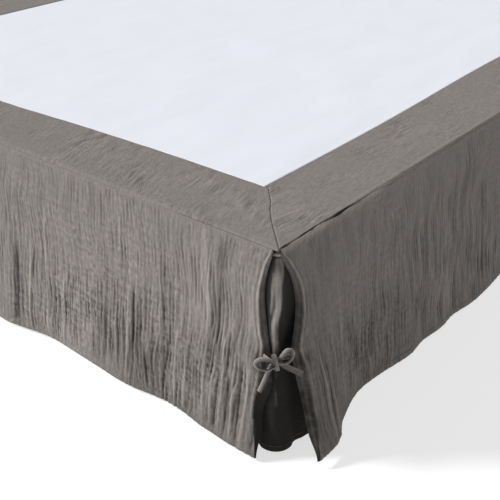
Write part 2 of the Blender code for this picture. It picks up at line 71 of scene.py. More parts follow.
camera_data = bpy.data.cameras.new("photo_camera")
camera_data.lens = CAMERA_LENS
camera_data.sensor_width = CAMERA_SENSOR
camera = bpy.data.objects.new("photo_camera", camera_data)
camera.location = CAMERA_PLACE
looks_along = Vector(
    (
        math.sin(CAMERA_YAW) * math.cos(CAMERA_PITCH),
        math.cos(CAMERA_YAW) * math.cos(CAMERA_PITCH),
        -math.sin(CAMERA_PITCH),
    )
)
camera.rotation_euler = looks_along.to_track_quat("-Z", "Y").to_euler()
scene.collection.objects.link(camera)
scene.camera = camera

for light_name, shines, strength, width in LIGHTS:
    light_data = bpy.data.lights.new(light_name, "SUN")
    light_data.energy = strength
    light_data.angle = math.radians(width)
    light = bpy.data.objects.new(light_name, light_data)
    light.rotation_euler = shines.to_track_quat("-Z", "Y").to_euler()
    scene.collection.objects.link(light)


def add_node(tree, kind, settings=(), **values):
    """A node of this kind in the tree, with these settings and these inputs."""
    node = tree.nodes.new(kind)
    for setting, value in dict(settings).items():
        setattr(node, setting, value)
    for socket, value in values.items():
        node.inputs[socket.replace("_", " ")].default_value = value
    return node


world = bpy.data.worlds.new("studio")
world.use_nodes = True
sky = world.node_tree
sky_way = add_node(sky, "ShaderNodeTexCoord")
sky_facing = add_node(sky, "ShaderNodeVectorMath", {"operation": "DOT_PRODUCT"})
sky_facing.inputs[1].default_value = SKY_TOWARDS
sky_range = add_node(sky, "ShaderNodeMapRange", From_Min=SKY_FADE, To_Max=SKY_BRIGHTEST)
sky_seen = add_node(sky, "ShaderNodeLightPath")
sky_backdrop = add_node(sky, "ShaderNodeMath", {"operation": "MAXIMUM"})
background = sky.nodes["Background"].inputs
background["Color"].default_value = SKY_COLOUR
for source, target in (
    (sky_way.outputs["Generated"], sky_facing.inputs[0]),
    (sky_facing.outputs["Value"], sky_range.inputs["Value"]),
    (sky_range.outputs["Result"], sky_backdrop.inputs[0]),
    (sky_seen.outputs["Is Camera Ray"], sky_backdrop.inputs[1]),
    (sky_backdrop.outputs["Value"], background["Strength"]),
):
    sky.links.new(source, target)
scene.world = world


class Finish:
    """A material. Its patterns follow the object's coordinates or, on cloth, the place on the flat cloth."""

    def __init__(self, name, roughness, on_cloth=False):
        self.material = bpy.data.materials.new(name)
        self.material.use_nodes = True
        self.tree = self.material.node_tree
        self.surface = self.tree.nodes["Principled BSDF"].inputs
        self.surface["Roughness"].default_value = roughness
        if on_cloth:
            self.place = self.add("ShaderNodeUVMap", {"uv_map": "cloth_place"}).outputs["UV"]
        else:
            self.place = self.add("ShaderNodeTexCoord").outputs["Object"]

    def add(self, kind, settings=(), **values):
        return add_node(self.tree, kind, settings, **values)

    def wire(self, source, target):
        self.tree.links.new(source, target)

    def stretched(self, scale):
        """The place, scaled along each axis."""
        mapping = self.add("ShaderNodeMapping", Scale=scale)
        self.wire(self.place, mapping.inputs["Vector"])
        return mapping.outputs["Vector"]

    def noise(self, scale, detail=2.0, roughness=0.5, place=None):
        texture = self.add("ShaderNodeTexNoise", Scale=scale, Detail=detail, Roughness=roughness)
        self.wire(self.place if place is None else place, texture.inputs["Vector"])
        return texture.outputs["Fac"]

    def bump(self, height, strength, distance, under=None):
        """Raise the surface by the height, on top of the bump under it, if any."""
        bump = self.add("ShaderNodeBump", Strength=strength, Distance=distance)
        self.wire(height, bump.inputs["Height"])
        if under is not None:
            self.wire(under, bump.inputs["Normal"])
        self.wire(bump.outputs["Normal"], self.surface["Normal"])
        return bump.outputs["Normal"]

    def colour(self, low, high, share):
        mixer = self.add("ShaderNodeMix", {"data_type": "RGBA"}, A=(*low, 1.0), B=(*high, 1.0))
        self.wire(share, mixer.inputs["Factor"])
        self.wire(mixer.outputs["Result"], self.surface["Base Color"])


floor_finish = Finish("pale_floor", 0.9)
floor_finish.colour((0.36, 0.36, 0.36), (0.38, 0.38, 0.38), floor_finish.noise(3.0, 3.0))
floor_finish.surface["Emission Color"].default_value = (1.0, 1.0, 1.0, 1.0)
floor_finish.surface["Emission Strength"].default_value = FLOOR_GLOW
floor_mesh = bpy.data.meshes.new("floor")
floor_corners = [(x * FLOOR_REACH, y * FLOOR_REACH, 0) for x, y in ((-1, -1), (1, -1), (1, 1), (-1, 1))]
floor_mesh.from_pydata(floor_corners, [], [(0, 1, 2, 3)])
floor_mesh.materials.append(floor_finish.material)
floor = bpy.data.objects.new("floor", floor_mesh)
scene.collection.objects.link(floor)


# ---- Bed base ------------------------------
# A sprung double base in pale ticking: a soft-edged box with a piped seam round its lower edge and one
# round its upper edge.

BASE_LOW, BASE_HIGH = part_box("bed_base")
BASE_EDGE = 0.008
BASE_CORNER = 0.016
BASE_MIDDLE_INSET = 0.60
BASE_WALL_SINK = 0.0006
PIPING_RADIUS = 0.0035
PIPING_SUNK = 0.6
PIPING_FROM_EDGE = 0.014
PIPING_SIDES = 10

ticking = Finish("ticking", 0.85)
ticking.colour((0.56, 0.54, 0.50), (0.66, 0.64, 0.60), ticking.noise(6.0, 4.0))
ticking.bump(ticking.noise(900.0), 0.35, 0.0006)


def new_piece(name, node, mesh, finish):
    """A smooth piece that rides on the body. It replaces the node, if it has one."""
    if finish is not None:
        mesh.materials.append(finish)
    mesh.shade_smooth()
    piece = bpy.data.objects.new(name, mesh)
    scene.collection.objects.link(piece)
    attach(piece, "root")
    if node is not None:
        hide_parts(node)
    return piece


def circle(sides):
    """Cosine and sine at even steps round a circle."""
    turn = np.arange(sides) * 2 * math.pi / sides
    return np.cos(turn), np.sin(turn)


def unit(vectors):
    return vectors / np.maximum(np.linalg.norm(vectors, axis=-1, keepdims=True), 1e-12)


def base_outline(inset, height, corner=BASE_CORNER, steps=6):
    """Points round the base at this height and this far inside its walls, with rounded corners."""
    middle, half = (BASE_LOW + BASE_HIGH) / 2, (BASE_HIGH - BASE_LOW) / 2
    quarters = []
    for number, (x, y) in enumerate(((1, 1), (-1, 1), (-1, -1), (1, -1))):
        turn = np.linspace(0, math.pi / 2, steps + 1) + number * math.pi / 2
        across = middle.x + x * (half.x - inset - corner) + corner * np.cos(turn)
        along = middle.y + y * (half.y - inset - corner) + corner * np.sin(turn)
        quarters.append(np.column_stack([across, along, np.full(len(turn), height)]))
    return np.concatenate(quarters)


def ringed_mesh(name, runs):
    """A mesh of one or more runs, each a stack of rings of points and whether the run closes on itself. The
    ends of an open run are capped."""
    vertices, faces = [], []
    for rings, closed in runs:
        count, sides = rings.shape[:2]
        number = len(vertices) + np.arange(count * sides).reshape(count, sides)
        vertices += rings.reshape(-1, 3).tolist()
        after = np.roll(number, -1, axis=0)
        walls = np.stack([number, np.roll(number, -1, axis=1), np.roll(after, -1, axis=1), after], axis=-1)
        faces += (walls if closed else walls[:-1]).reshape(-1, 4).tolist()
        faces += [] if closed else [number[0, ::-1].tolist(), number[-1].tolist()]
    mesh = bpy.data.meshes.new(name)
    mesh.from_pydata(vertices, [], faces)
    bm = bmesh.new()
    bm.from_mesh(mesh)
    bmesh.ops.recalc_face_normals(bm, faces=bm.faces)
    bm.to_mesh(mesh)
    bm.free()
    return mesh


def piping_rings(height):
    """Rings of a round piping, a little sunk in the cover, along a closed path round the base."""
    path = base_outline(PIPING_RADIUS * PIPING_SUNK, height)
    outward = unit(np.cross(np.roll(path, -1, axis=0) - np.roll(path, 1, axis=0), (0, 0, 1)))
    cosine, sine = circle(PIPING_SIDES)
    swing = outward[:, None] * cosine[:, None] + np.array((0, 0, 1)) * sine[:, None]
    return path[:, None] + PIPING_RADIUS * swing


# From the underside up the walls and over the top: how far in each ring lies, and its height
edge_middle = BASE_EDGE * 0.3
base_rings = [
    base_outline(inset, height)
    for inset, height in (
        (BASE_MIDDLE_INSET, BASE_LOW.z),
        (BASE_EDGE, BASE_LOW.z),
        (edge_middle, BASE_LOW.z + edge_middle),
        (0.0, BASE_LOW.z + BASE_EDGE),
        (BASE_WALL_SINK, (BASE_LOW.z + BASE_HIGH.z) / 2),
        (0.0, BASE_HIGH.z - BASE_EDGE),
        (edge_middle, BASE_HIGH.z - edge_middle),
        (BASE_EDGE, BASE_HIGH.z),
        (BASE_MIDDLE_INSET, BASE_HIGH.z),
    )
]
base_mesh = ringed_mesh("base_cover", [(np.array(base_rings), False)])
new_piece("base_cover", "bed_base", base_mesh, ticking.material)
for piping_name, piping_height in (
    ("base_piping_lower", BASE_LOW.z + PIPING_FROM_EDGE),
    ("base_piping_upper", BASE_HIGH.z - PIPING_FROM_EDGE),
):
    piping_mesh = ringed_mesh(piping_name, [(piping_rings(piping_height), True)])
    new_piece(piping_name, None, piping_mesh, ticking.material)


# ---- Legs ------------------------------
# Six turned and tapered beech legs, screwed up into the base at its corners and in the middle of its long
# sides. Each has a small step above its foot.

LEG_SIDES = 40
LEG_TAPER = 2 / 3
LEG_SHARP_ANGLE = math.radians(40)

beech = Finish("turned_beech", 0.45)
beech_grain = beech.noise(1.0, 6.0, 0.6, beech.stretched((60.0, 60.0, 5.0)))
beech.colour((0.34, 0.20, 0.10), (0.52, 0.34, 0.20), beech_grain)
beech.bump(beech_grain, 0.2, 0.0004)


def leg_rings(low, high):
    """Rings of a turned leg that fills this box, from its foot up."""
    middle = (low + high) / 2
    top = (high.x - low.x) / 2
    foot = top * LEG_TAPER
    height = high.z - low.z
    profile = (
        (foot * 0.80, 0.0),
        (foot * 0.96, 0.0008),
        (foot * 0.97, 0.0040),
        (foot * 1.00, 0.0060),
        (top - 0.0016, height - 0.0100),
        (top - 0.0004, height - 0.0040),
        (top - 0.0004, height - 0.0006),
        (top - 0.0012, height),
    )
    cosine, sine = circle(LEG_SIDES)
    rings = [
        np.column_stack([middle.x + out * cosine, middle.y + out * sine, np.full(LEG_SIDES, low.z + up)])
        for out, up in profile
    ]
    return np.array(rings)


for place in ("foot", "middle", "head"):
    for hand in ("left", "right"):
        leg_node = f"leg_{place}_{hand}"
        leg_mesh = ringed_mesh(leg_node, [(leg_rings(*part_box(leg_node)), False)])
        new_piece(f"turned_{leg_node}", leg_node, leg_mesh, beech.material)
        leg_mesh.set_sharp_from_angle(angle=LEG_SHARP_ANGLE)


# ---- Platform sheet ------------------------------
# Plain white cotton that lies on the base under the mattress, seamed to the border on three sides and
# hemmed at the head. Its seam with the border isn't quite straight.

MM = 0.001
FOOT_Y, HEAD_Y = -0.929, 0.971
RIGHT_X = 0.700
CLOTH = 0.0016
TOP = 0.3485 + CLOTH / 2
# How wide the border is: along the foot and along a side, from the right foot corner
FOOT_BORDER_WIDTH = [
    (0.14, 0.143), (0.33, 0.143), (0.55, 0.137), (0.75, 0.127), (0.98, 0.134), (1.26, 0.143),
]
SIDE_BORDER_WIDTH = [(0.14, 0.139), (0.47, 0.140), (0.94, 0.154), (1.40, 0.145), (1.90, 0.141)]
HEAD_SETBACK = 0.004
# The stretch of a side along which the sheet meets the border
SHEET_FROM, SHEET_SPAN = 0.14, 1.75
SHEET_SEAM_GAP = 0.0006
SHEET_RISE = 0.0006
SHEET_CALM_EDGE = 0.05
EDGE_THINNING = 0.55
THREAD = 0.00032
# A stitch stands this many thread radii above the cloth's surface
THREAD_RAISED = 0.3
STITCH_SIZES = (0.88, 1.06)
STITCH_SEED = 7


def mix(a, b, share):
    return a + (b - a) * share


def ramp(value, start, end):
    """0 up to the start and 1 from the end on, with a smooth rise between."""
    t = np.clip((value - start) / (end - start), 0.0, 1.0)
    return t * t * (3 - 2 * t)


def hump(value, middle, width):
    """1 at the middle, fading to 0 on both sides."""
    return np.exp(-(((value - middle) / width) ** 2))


def hermite(start, end, start_slope, end_slope, t):
    """The smooth curve with these ends and slopes, at t from 0 to 1."""
    return (
        (2 * t**3 - 3 * t**2 + 1) * start
        + (t**3 - 2 * t**2 + t) * start_slope
        + (3 * t**2 - 2 * t**3) * end
        + (t**3 - t**2) * end_slope
    )


def curve_through(rows, at, column=1):
    """The column's value at each place, on a curve through the rows that is level at the outer ones."""
    table = np.array(rows)
    places, values = table[:, 0], table[:, column]
    at = np.clip(at, places[0], places[-1])
    i = np.clip(np.searchsorted(places, at, side="right") - 1, 0, len(places) - 2)
    slopes = np.zeros(len(places))
    slopes[1:-1] = (values[2:] - values[:-2]) / (places[2:] - places[:-2])
    span = places[i + 1] - places[i]
    return hermite(values[i], values[i + 1], span * slopes[i], span * slopes[i + 1], (at - places[i]) / span)


FIELD_STEP = 0.001
FIELD_SHAPE = (640, 2048)


def filtered_noise(seed, share_kept):
    """Even noise of which each frequency, down and across the cloth, keeps its share."""
    spectrum = np.fft.rfft2(np.random.default_rng(seed).standard_normal(FIELD_SHAPE))
    down = np.fft.fftfreq(FIELD_SHAPE[0], FIELD_STEP)[:, None]
    across = np.fft.rfftfreq(FIELD_SHAPE[1], FIELD_STEP)[None, :]
    field = np.fft.irfft2(spectrum * share_kept(down, across), FIELD_SHAPE)
    return field / field.std()


def striped_noise(seed, pitch, length, spread):
    """Noise whose stripes run down the cloth, this far apart and about this long. They fork and fade."""
    return filtered_noise(
        seed,
        lambda down, across: np.exp(-(((across * pitch - 1) / spread) ** 2) / 2 - (down * length) ** 2 / 2),
    )


def soft_noise(seed, across_size, down_size):
    """Noise in soft patches of about this size."""
    return filtered_noise(
        seed, lambda down, across: np.exp(-((across * across_size) ** 2 + (down * down_size) ** 2) * 4)
    )


def read_field(field, across, down):
    """The field at these places on the cloth, in metres. It repeats past its edges."""
    x = np.mod(across / FIELD_STEP, FIELD_SHAPE[1])
    y = np.mod(down / FIELD_STEP, FIELD_SHAPE[0])
    x0, y0 = np.floor(x).astype(int), np.floor(y).astype(int)
    fx, fy = x - x0, y - y0
    x0, y0 = x0 % FIELD_SHAPE[1], y0 % FIELD_SHAPE[0]
    x1, y1 = (x0 + 1) % FIELD_SHAPE[1], (y0 + 1) % FIELD_SHAPE[0]
    return mix(mix(field[y0, x0], field[y0, x1], fx), mix(field[y1, x0], field[y1, x1], fx), fy)


def grid_normals(points):
    return unit(np.cross(np.gradient(points, axis=0), np.gradient(points, axis=1)))


def every_second(count):
    """Every second number below count, and the last."""
    return np.unique(np.append(np.arange(0, count, 2), count - 1))


def quads(index):
    """Four-sided faces between the rows and columns of these vertex numbers."""
    corners = (index[:-1, :-1], index[1:, :-1], index[1:, 1:], index[:-1, 1:])
    return np.stack(corners, axis=-1).reshape(-1, 4).tolist()


def mark_cloth(mesh, places, painted_shading):
    """Keep each vertex's place on the flat cloth as the UV map, and its painted light and shade as an
    attribute.
    """
    corners = np.zeros(len(mesh.loops), np.int32)
    mesh.loops.foreach_get("vertex_index", corners)
    mesh.uv_layers.new(name="cloth_place").data.foreach_set("uv", places[corners].astype(np.float32).ravel())
    mesh.attributes.new("painted_shading", "FLOAT", "POINT").data.foreach_set("value", painted_shading.astype(np.float32))


def cloth_piece(name, node, middle, places, thickness, finish, painted_shading=0.5):
    """A closed thin sheet round the grid of points middle. places is each point's (across, down) in metres
    on the flat cloth. Its painted light and shade, from 0 for painted shade in the hollows to 1 for a
    painted highlight on the ridges, is what the gauze's colour follows. It and the thickness may differ from
    point to point. The back has every second row and column."""
    rows, columns = middle.shape[:2]
    half = np.broadcast_to(np.asarray(thickness, float) / 2, (rows, columns)).copy()
    for edge in (np.s_[0, :], np.s_[-1, :], np.s_[:, 0], np.s_[:, -1]):
        half[edge] *= EDGE_THINNING
    offset = grid_normals(middle) * half[..., None]
    kept = np.ix_(every_second(rows), every_second(columns))
    vertices = np.concatenate([(middle + offset).reshape(-1, 3), (middle - offset)[kept].reshape(-1, 3)])
    index = np.arange(rows * columns).reshape(rows, columns)
    behind = np.full((rows, columns), -1)
    back_index = rows * columns + np.arange(behind[kept].size).reshape(behind[kept].shape)
    behind[kept] = back_index
    faces = quads(index) + [face[::-1] for face in quads(back_index)]
    rim = np.concatenate([index[0, :], index[1:, -1], index[-1, -2::-1], index[-2::-1, 0]]).tolist()
    rim_behind = behind.ravel()[rim]
    start = 0
    for end in range(1, len(rim)):
        if rim_behind[end] >= 0:
            faces.append([*rim[start : end + 1], int(rim_behind[end]), int(rim_behind[start])])
            start = end
    mesh = bpy.data.meshes.new(name)
    mesh.from_pydata(vertices.tolist(), [], faces)
    painted_shading = np.broadcast_to(np.asarray(painted_shading, float), (rows, columns))
    mark_cloth(
        mesh,
        np.concatenate([places.reshape(-1, 2), places[kept].reshape(-1, 2)]),
        np.concatenate([painted_shading.ravel(), painted_shading[kept].ravel()]),
    )
    return new_piece(name, node, mesh, finish)


def stitching_tree():
    """A node tree that lays stitches along rows: slim beads, evenly spaced, each lying along its row."""
    tree = bpy.data.node_groups.new("stitching", "GeometryNodeTree")
    for label, kind in (
        ("Rows", "Geometry"),
        ("Spacing", "Float"),
        ("Stitch Length", "Float"),
        ("Thread Radius", "Float"),
        ("Seed", "Int"),
        ("Finish", "Material"),
    ):
        tree.interface.new_socket(label, in_out="INPUT", socket_type=f"NodeSocket{kind}")
    tree.interface.new_socket("Stitches", in_out="OUTPUT", socket_type="NodeSocketGeometry")
    entry = add_node(tree, "NodeGroupInput")
    given = entry.outputs
    rows = add_node(tree, "GeometryNodeMeshToCurve")
    places = add_node(tree, "GeometryNodeCurveToPoints", {"mode": "LENGTH"})
    laid = add_node(tree, "GeometryNodeInstanceOnPoints")
    joined = add_node(tree, "GeometryNodeRealizeInstances")
    finished = add_node(tree, "GeometryNodeSetMaterial")
    result = add_node(tree, "NodeGroupOutput")
    # What goes in by the first socket of each comes out by the first socket of the one before
    steps = (entry, rows, places, laid, joined, finished, result)
    for before, after in zip(steps, steps[1:]):
        tree.links.new(before.outputs[0], after.inputs[0])
    bead = add_node(tree, "GeometryNodeMeshUVSphere", Segments=5, Rings=3)
    half = add_node(tree, "ShaderNodeMath", {"operation": "MULTIPLY"})
    half.inputs[1].default_value = 0.5
    size = add_node(tree, "ShaderNodeCombineXYZ")
    shaped = add_node(tree, "GeometryNodeTransform")
    uneven = add_node(tree, "FunctionNodeRandomValue")
    wanted = {socket.name: socket for socket in uneven.inputs if socket.enabled}
    wanted["Min"].default_value, wanted["Max"].default_value = STITCH_SIZES
    for source, target in (
        (given["Spacing"], places.inputs["Length"]),
        (given["Stitch Length"], half.inputs[0]),
        (given["Thread Radius"], size.inputs["X"]),
        (given["Thread Radius"], size.inputs["Y"]),
        (half.outputs["Value"], size.inputs["Z"]),
        (bead.outputs["Mesh"], shaped.inputs["Geometry"]),
        (size.outputs["Vector"], shaped.inputs["Scale"]),
        (shaped.outputs["Geometry"], laid.inputs["Instance"]),
        (places.outputs["Rotation"], laid.inputs["Rotation"]),
        (given["Seed"], wanted["Seed"]),
        (next(socket for socket in uneven.outputs if socket.enabled), laid.inputs["Scale"]),
        (given["Finish"], finished.inputs["Material"]),
    ):
        tree.links.new(source, target)
    return tree


stitching = stitching_tree()
stitching_inputs = (item for item in stitching.interface.items_tree if item.in_out == "INPUT")
stitching_sockets = {item.name: item.identifier for item in stitching_inputs}


def stitched(name, lines, finish, spacing=0.0040, length=0.0032, thread=THREAD):
    """A piece with a row of stitches along each line of points."""
    edges = []
    first = 0
    for line in lines:
        edges += [(first + i, first + i + 1) for i in range(len(line) - 1)]
        first += len(line)
    mesh = bpy.data.meshes.new(name)
    mesh.from_pydata(np.concatenate(lines).tolist(), edges, [])
    rows = bpy.data.objects.new(f"{name}_rows", mesh)
    scene.collection.objects.link(rows)
    modifier = rows.modifiers.new("stitching", "NODES")
    modifier.node_group = stitching
    for label, value in (
        ("Spacing", spacing),
        ("Stitch Length", length),
        ("Thread Radius", thread),
        ("Seed", STITCH_SEED),
        ("Finish", finish),
    ):
        modifier[stitching_sockets[label]] = value
    sewn = bpy.data.meshes.new_from_object(rows.evaluated_get(bpy.context.evaluated_depsgraph_get()))
    bpy.data.objects.remove(rows)
    return new_piece(name, None, sewn, None)


def thread_finish(name, low, high):
    """Matt sewing thread, a little uneven in colour."""
    thread = Finish(name, 0.75)
    thread.colour(low, high, thread.noise(260.0))
    return thread.material


cotton = Finish("white_cotton", 0.85, on_cloth=True)
cotton.colour((0.722, 0.737, 0.806), (0.762, 0.777, 0.846), cotton.noise(9.0, 3.0))
cotton_wrinkles = cotton.bump(
    cotton.noise(18.0, 2.0, 0.4, cotton.stretched((1.0, 0.30, 1.0))), 0.30, 0.0060
)
cotton.bump(cotton.noise(1400.0), 0.25, 0.0004, under=cotton_wrinkles)
cotton.surface["Sheen Weight"].default_value = 0.15

# Shares of the sheet's width and length, with close steps at its edges
sheet_u = np.concatenate([[0, 0.001], np.linspace(0.003, 0.997, 83), [0.999, 1]])
sheet_v = np.concatenate([[0, 0.0006], np.linspace(0.002, 0.998, 124), [0.9994, 1]])
inset_x = curve_through(SIDE_BORDER_WIDTH, SHEET_FROM + sheet_v * SHEET_SPAN)[:, None] + SHEET_SEAM_GAP
sheet_x = -RIGHT_X + inset_x + sheet_u * (2 * RIGHT_X - 2 * inset_x)
inset_y = curve_through(FOOT_BORDER_WIDTH, RIGHT_X - sheet_x) + SHEET_SEAM_GAP
sheet_y = mix(FOOT_Y + inset_y, HEAD_Y - HEAD_SETBACK, sheet_v[:, None])
from_seam = np.minimum(RIGHT_X - inset_x - np.abs(sheet_x), sheet_y - FOOT_Y - inset_y)
sheet_wave = read_field(soft_noise(11, 0.10, 0.10), sheet_x + 1, sheet_y + 1)
sheet_z = TOP + SHEET_RISE * sheet_wave * ramp(from_seam, 0, SHEET_CALM_EDGE)
sheet_grid = np.stack([sheet_x, sheet_y, np.maximum(sheet_z, TOP)], axis=-1)[::-1]
platform = cloth_piece(
    "platform_cotton",
    "platform_sheet",
    sheet_grid,
    sheet_grid[..., :2],
    CLOTH,
    cotton.material,
)
head_hem = stitched(
    "head_hem_stitches",
    [sheet_grid[2] + np.array((0, 0, CLOTH / 2 + THREAD * THREAD_RAISED))],
    thread_finish("white_thread", (0.70, 0.71, 0.76), (0.80, 0.81, 0.86)),
)


# ---- Dust cover ------------------------------
# Thin dark felted cloth, stretched under the base to keep dust out of it, and stapled to its frame all
# round.

DUST_COVER_INSET = 0.022
DUST_COVER_THICK = 0.0006
DUST_COVER_GAP = 0.0008
DUST_COVER_SAG = 0.0010
STAPLE_INSET = 0.008

felt = Finish("dust_felt", 0.95, on_cloth=True)
felt_fibres = felt.noise(420.0, 4.0, 0.7)
felt.colour((0.020, 0.020, 0.022), (0.060, 0.060, 0.064), felt_fibres)
felt.bump(felt_fibres, 0.4, 0.0004)
steel = Finish("staple_steel", 0.35)
steel.colour((0.50, 0.50, 0.52), (0.66, 0.66, 0.68), steel.noise(90.0))
steel.surface["Metallic"].default_value = 1.0

dust_x, dust_y = np.meshgrid(
    np.linspace(BASE_LOW.x + DUST_COVER_INSET, BASE_HIGH.x - DUST_COVER_INSET, 34),
    np.linspace(BASE_LOW.y + DUST_COVER_INSET, BASE_HIGH.y - DUST_COVER_INSET, 46),
)
dust_sag = DUST_COVER_SAG * (
    np.sin((dust_x - BASE_LOW.x) * math.pi / (2 * RIGHT_X))
    * np.sin((dust_y - BASE_LOW.y) * math.pi / (HEAD_Y - FOOT_Y))
)
dust_grid = np.stack([dust_x, dust_y, BASE_LOW.z - DUST_COVER_GAP - dust_sag], axis=-1)
dust_cover = cloth_piece(
    "dust_cover", None, dust_grid, dust_grid[..., :2], DUST_COVER_THICK, felt.material
)
staple_height = BASE_LOW.z - DUST_COVER_GAP - DUST_COVER_THICK
staple_line = base_outline(DUST_COVER_INSET + STAPLE_INSET, staple_height, corner=0.004, steps=2)
staples = stitched(
    "dust_cover_staples",
    [np.concatenate([staple_line, staple_line[:1]])],
    steel.material,
    spacing=0.055,
    length=0.011,
    thread=0.0005,
)


# ---- Border ------------------------------
# Three strips of grey double gauze round the white sheet, mitred at the foot corners. Each lies flat on
# the base and rolls over its edge to the seam with the skirt.

SEAM_REACH = 0.0005
SEAM_HEIGHT = 0.3459
SEAM_GAP = 0.0005
SEAM_LAP = 0.0012
MITRE_GAP = 0.0004
LYING_ROWS, ROLL_ROWS = 62, 7
# The border's crinkles, in millimetres, are finer than the skirt's
BORDER_ROLLING, BORDER_BROAD, BORDER_FINE = 0.12, 0.07, 0.17
BORDER_FINENESS = 1.55
BORDER_LIFT = 0.0004
TOPSTITCH_INSIDE = 0.0070
# How dark the painted shadow in the gap at the seam is, and how strong the painted highlights on its edge,
# on a line beside it and on the roll are
SEAM_SHADE, EDGE_LIGHT, LINE_LIGHT, ROLL_LIGHT = 0.75, 0.40, 0.16, 0.45
# The seam along the foot and along a long side: how open it looks, which also sets a painted highlight on
# the border's edge where it is shut, the radius that the border rolls over, how far the skirt's seam
# allowance stands up, which also sets a painted highlight on it, and how strong the painted shadow in the
# gap beside it is. Each goes from its first value to its second one between two distances from the corner.
FOOT_SEAM = {
    "open": (1.0, 0.0, 0.16, 0.30),
    "roll": (0.0035, 0.0100, 0.12, 0.45),
    "rim": (0.0, 0.0, 0.1, 0.2),
    "painted_gap_shadow": (0.0, 0.0, 0.1, 0.2),
}
SIDE_SEAM = {
    "open": (1.0, 0.60, 0.12, 0.50),
    "roll": (0.0035, 0.0060, 0.15, 0.50),
    "rim": (1.0, 0.25, 0.14, 0.36),
    "painted_gap_shadow": (1.0, 0.10, 0.12, 0.26),
}
Side = namedtuple("Side", "name corner along outward length seam")
FOOT = Side("foot", (RIGHT_X, FOOT_Y, 0), (-1, 0, 0), (0, -1, 0), 2 * RIGHT_X, FOOT_SEAM)
RIGHT = Side("right", (RIGHT_X, FOOT_Y, 0), (0, 1, 0), (1, 0, 0), HEAD_Y - FOOT_Y, SIDE_SEAM)
LEFT = Side("left", (-RIGHT_X, FOOT_Y, 0), (0, 1, 0), (-1, 0, 0), HEAD_Y - FOOT_Y, SIDE_SEAM)
# The mitre, in from the foot edge and from the long side's edge. It starts beside the white corner.
MITRE_FROM_FOOT = (0.000, 0.030, 0.060, 0.085, 0.110, 0.130, 0.143)
MITRE_FROM_SIDE = (0.000, 0.030, 0.060, 0.082, 0.100, 0.119, 0.131)

gauze = Finish("grey_double_gauze", 0.92, on_cloth=True)
gauze_weave = gauze.add("ShaderNodeMath", {"operation": "MULTIPLY"})
for thread_way, woven in zip(("X", "Y"), gauze_weave.inputs):
    settings = {"wave_type": "BANDS", "bands_direction": thread_way}
    threads = gauze.add("ShaderNodeTexWave", settings, Scale=340.0, Distortion=2.5, Detail_Scale=2.0)
    gauze.wire(gauze.place, threads.inputs["Vector"])
    gauze.wire(threads.outputs["Fac"], woven)
gauze_crumple_place = gauze.stretched((1.0, 0.55, 1.0))
gauze_weave_bump = gauze.bump(gauze_weave.outputs["Value"], 0.30, 0.0004)
gauze.bump(gauze.noise(130.0, 4.0, 0.72, gauze_crumple_place), 1.0, 0.0020, under=gauze_weave_bump)
# Painted light and shade: the gauze's colour runs from near black to its own grey-brown by the painted
# shading attribute. It darkens hollows, gaps and the slits and lightens ridges, folds and edges, with a
# little random tone from a noise on top.
gauze_painted_shading = gauze.add("ShaderNodeAttribute", {"attribute_name": "painted_shading"})
gauze_tone = gauze.add("ShaderNodeMath", {"operation": "MULTIPLY_ADD"})
gauze.wire(gauze.noise(150.0, 3.0, 0.7, gauze_crumple_place), gauze_tone.inputs[0])
gauze_tone.inputs[1].default_value = 0.5
gauze.wire(gauze_painted_shading.outputs["Fac"], gauze_tone.inputs[2])
gauze_range = gauze.add("ShaderNodeMapRange", From_Max=1.5)
gauze.wire(gauze_tone.outputs["Value"], gauze_range.inputs["Value"])
gauze.colour((0.020, 0.018, 0.016), (0.402, 0.364, 0.337), gauze_range.outputs["Result"])
gauze.surface["Specular IOR Level"].default_value = 0.15
gauze.surface["Sheen Weight"].default_value = 0.04
gauze.surface["Sheen Roughness"].default_value = 0.6
gauze_thread = thread_finish("grey_thread", (0.24, 0.22, 0.20), (0.36, 0.335, 0.31))

rolling_stripes = striped_noise(20, 0.060, 0.36, 0.45)
broad_stripes = striped_noise(21, 0.028, 0.26, 0.42)
fine_stripes = striped_noise(22, 0.0150, 0.14, 0.42)
thin_stripes = striped_noise(23, 0.0068, 0.060, 0.40)
crepe = striped_noise(25, 0.0110, 0.016, 0.45)
sway = soft_noise(26, 0.050, 0.050)
crinkle_strength = soft_noise(24, 0.09, 0.12)
RIDGE_TOP = 0.8
RIDGE_ROUNDING = 0.02
HOLLOW_LIMIT = 2.2
THIN_SHARE, CREPE_SHARE = 0.36, 0.24
# How uneven the crinkles' strength is, its limits, and how far their ridges wander and sway, in metres
UNEVEN, WEAKEST, STRONGEST = 0.35, 0.3, 1.8
WANDER, SWAY = 0.004, 0.0016


def at_side(side, along, reach, height):
    """Points this far along a side from its corner, this far out from it and this high."""
    along, reach, height = np.broadcast_arrays(along, reach, height)
    place = side.corner + along[..., None] * side.along + reach[..., None] * side.outward
    place[..., 2] = height
    return place


def corner_distance(side, along):
    """How far from the nearer foot corner a place along the side is."""
    return np.minimum(along, side.length - along) if side is FOOT else along


def seam_looks(side, along, *measures):
    """These measures of the side's seam at these places."""
    return [
        mix(first, second, ramp(corner_distance(side, along), start, end))
        for first, second, start, end in (side.seam[measure] for measure in measures)
    ]


def ridged(field):
    """Narrow ridges with wider hollows between them, one ridge wherever the stripes change sign."""
    return RIDGE_TOP - np.sqrt(np.minimum(np.abs(field), HOLLOW_LIMIT) ** 2 + RIDGE_ROUNDING)


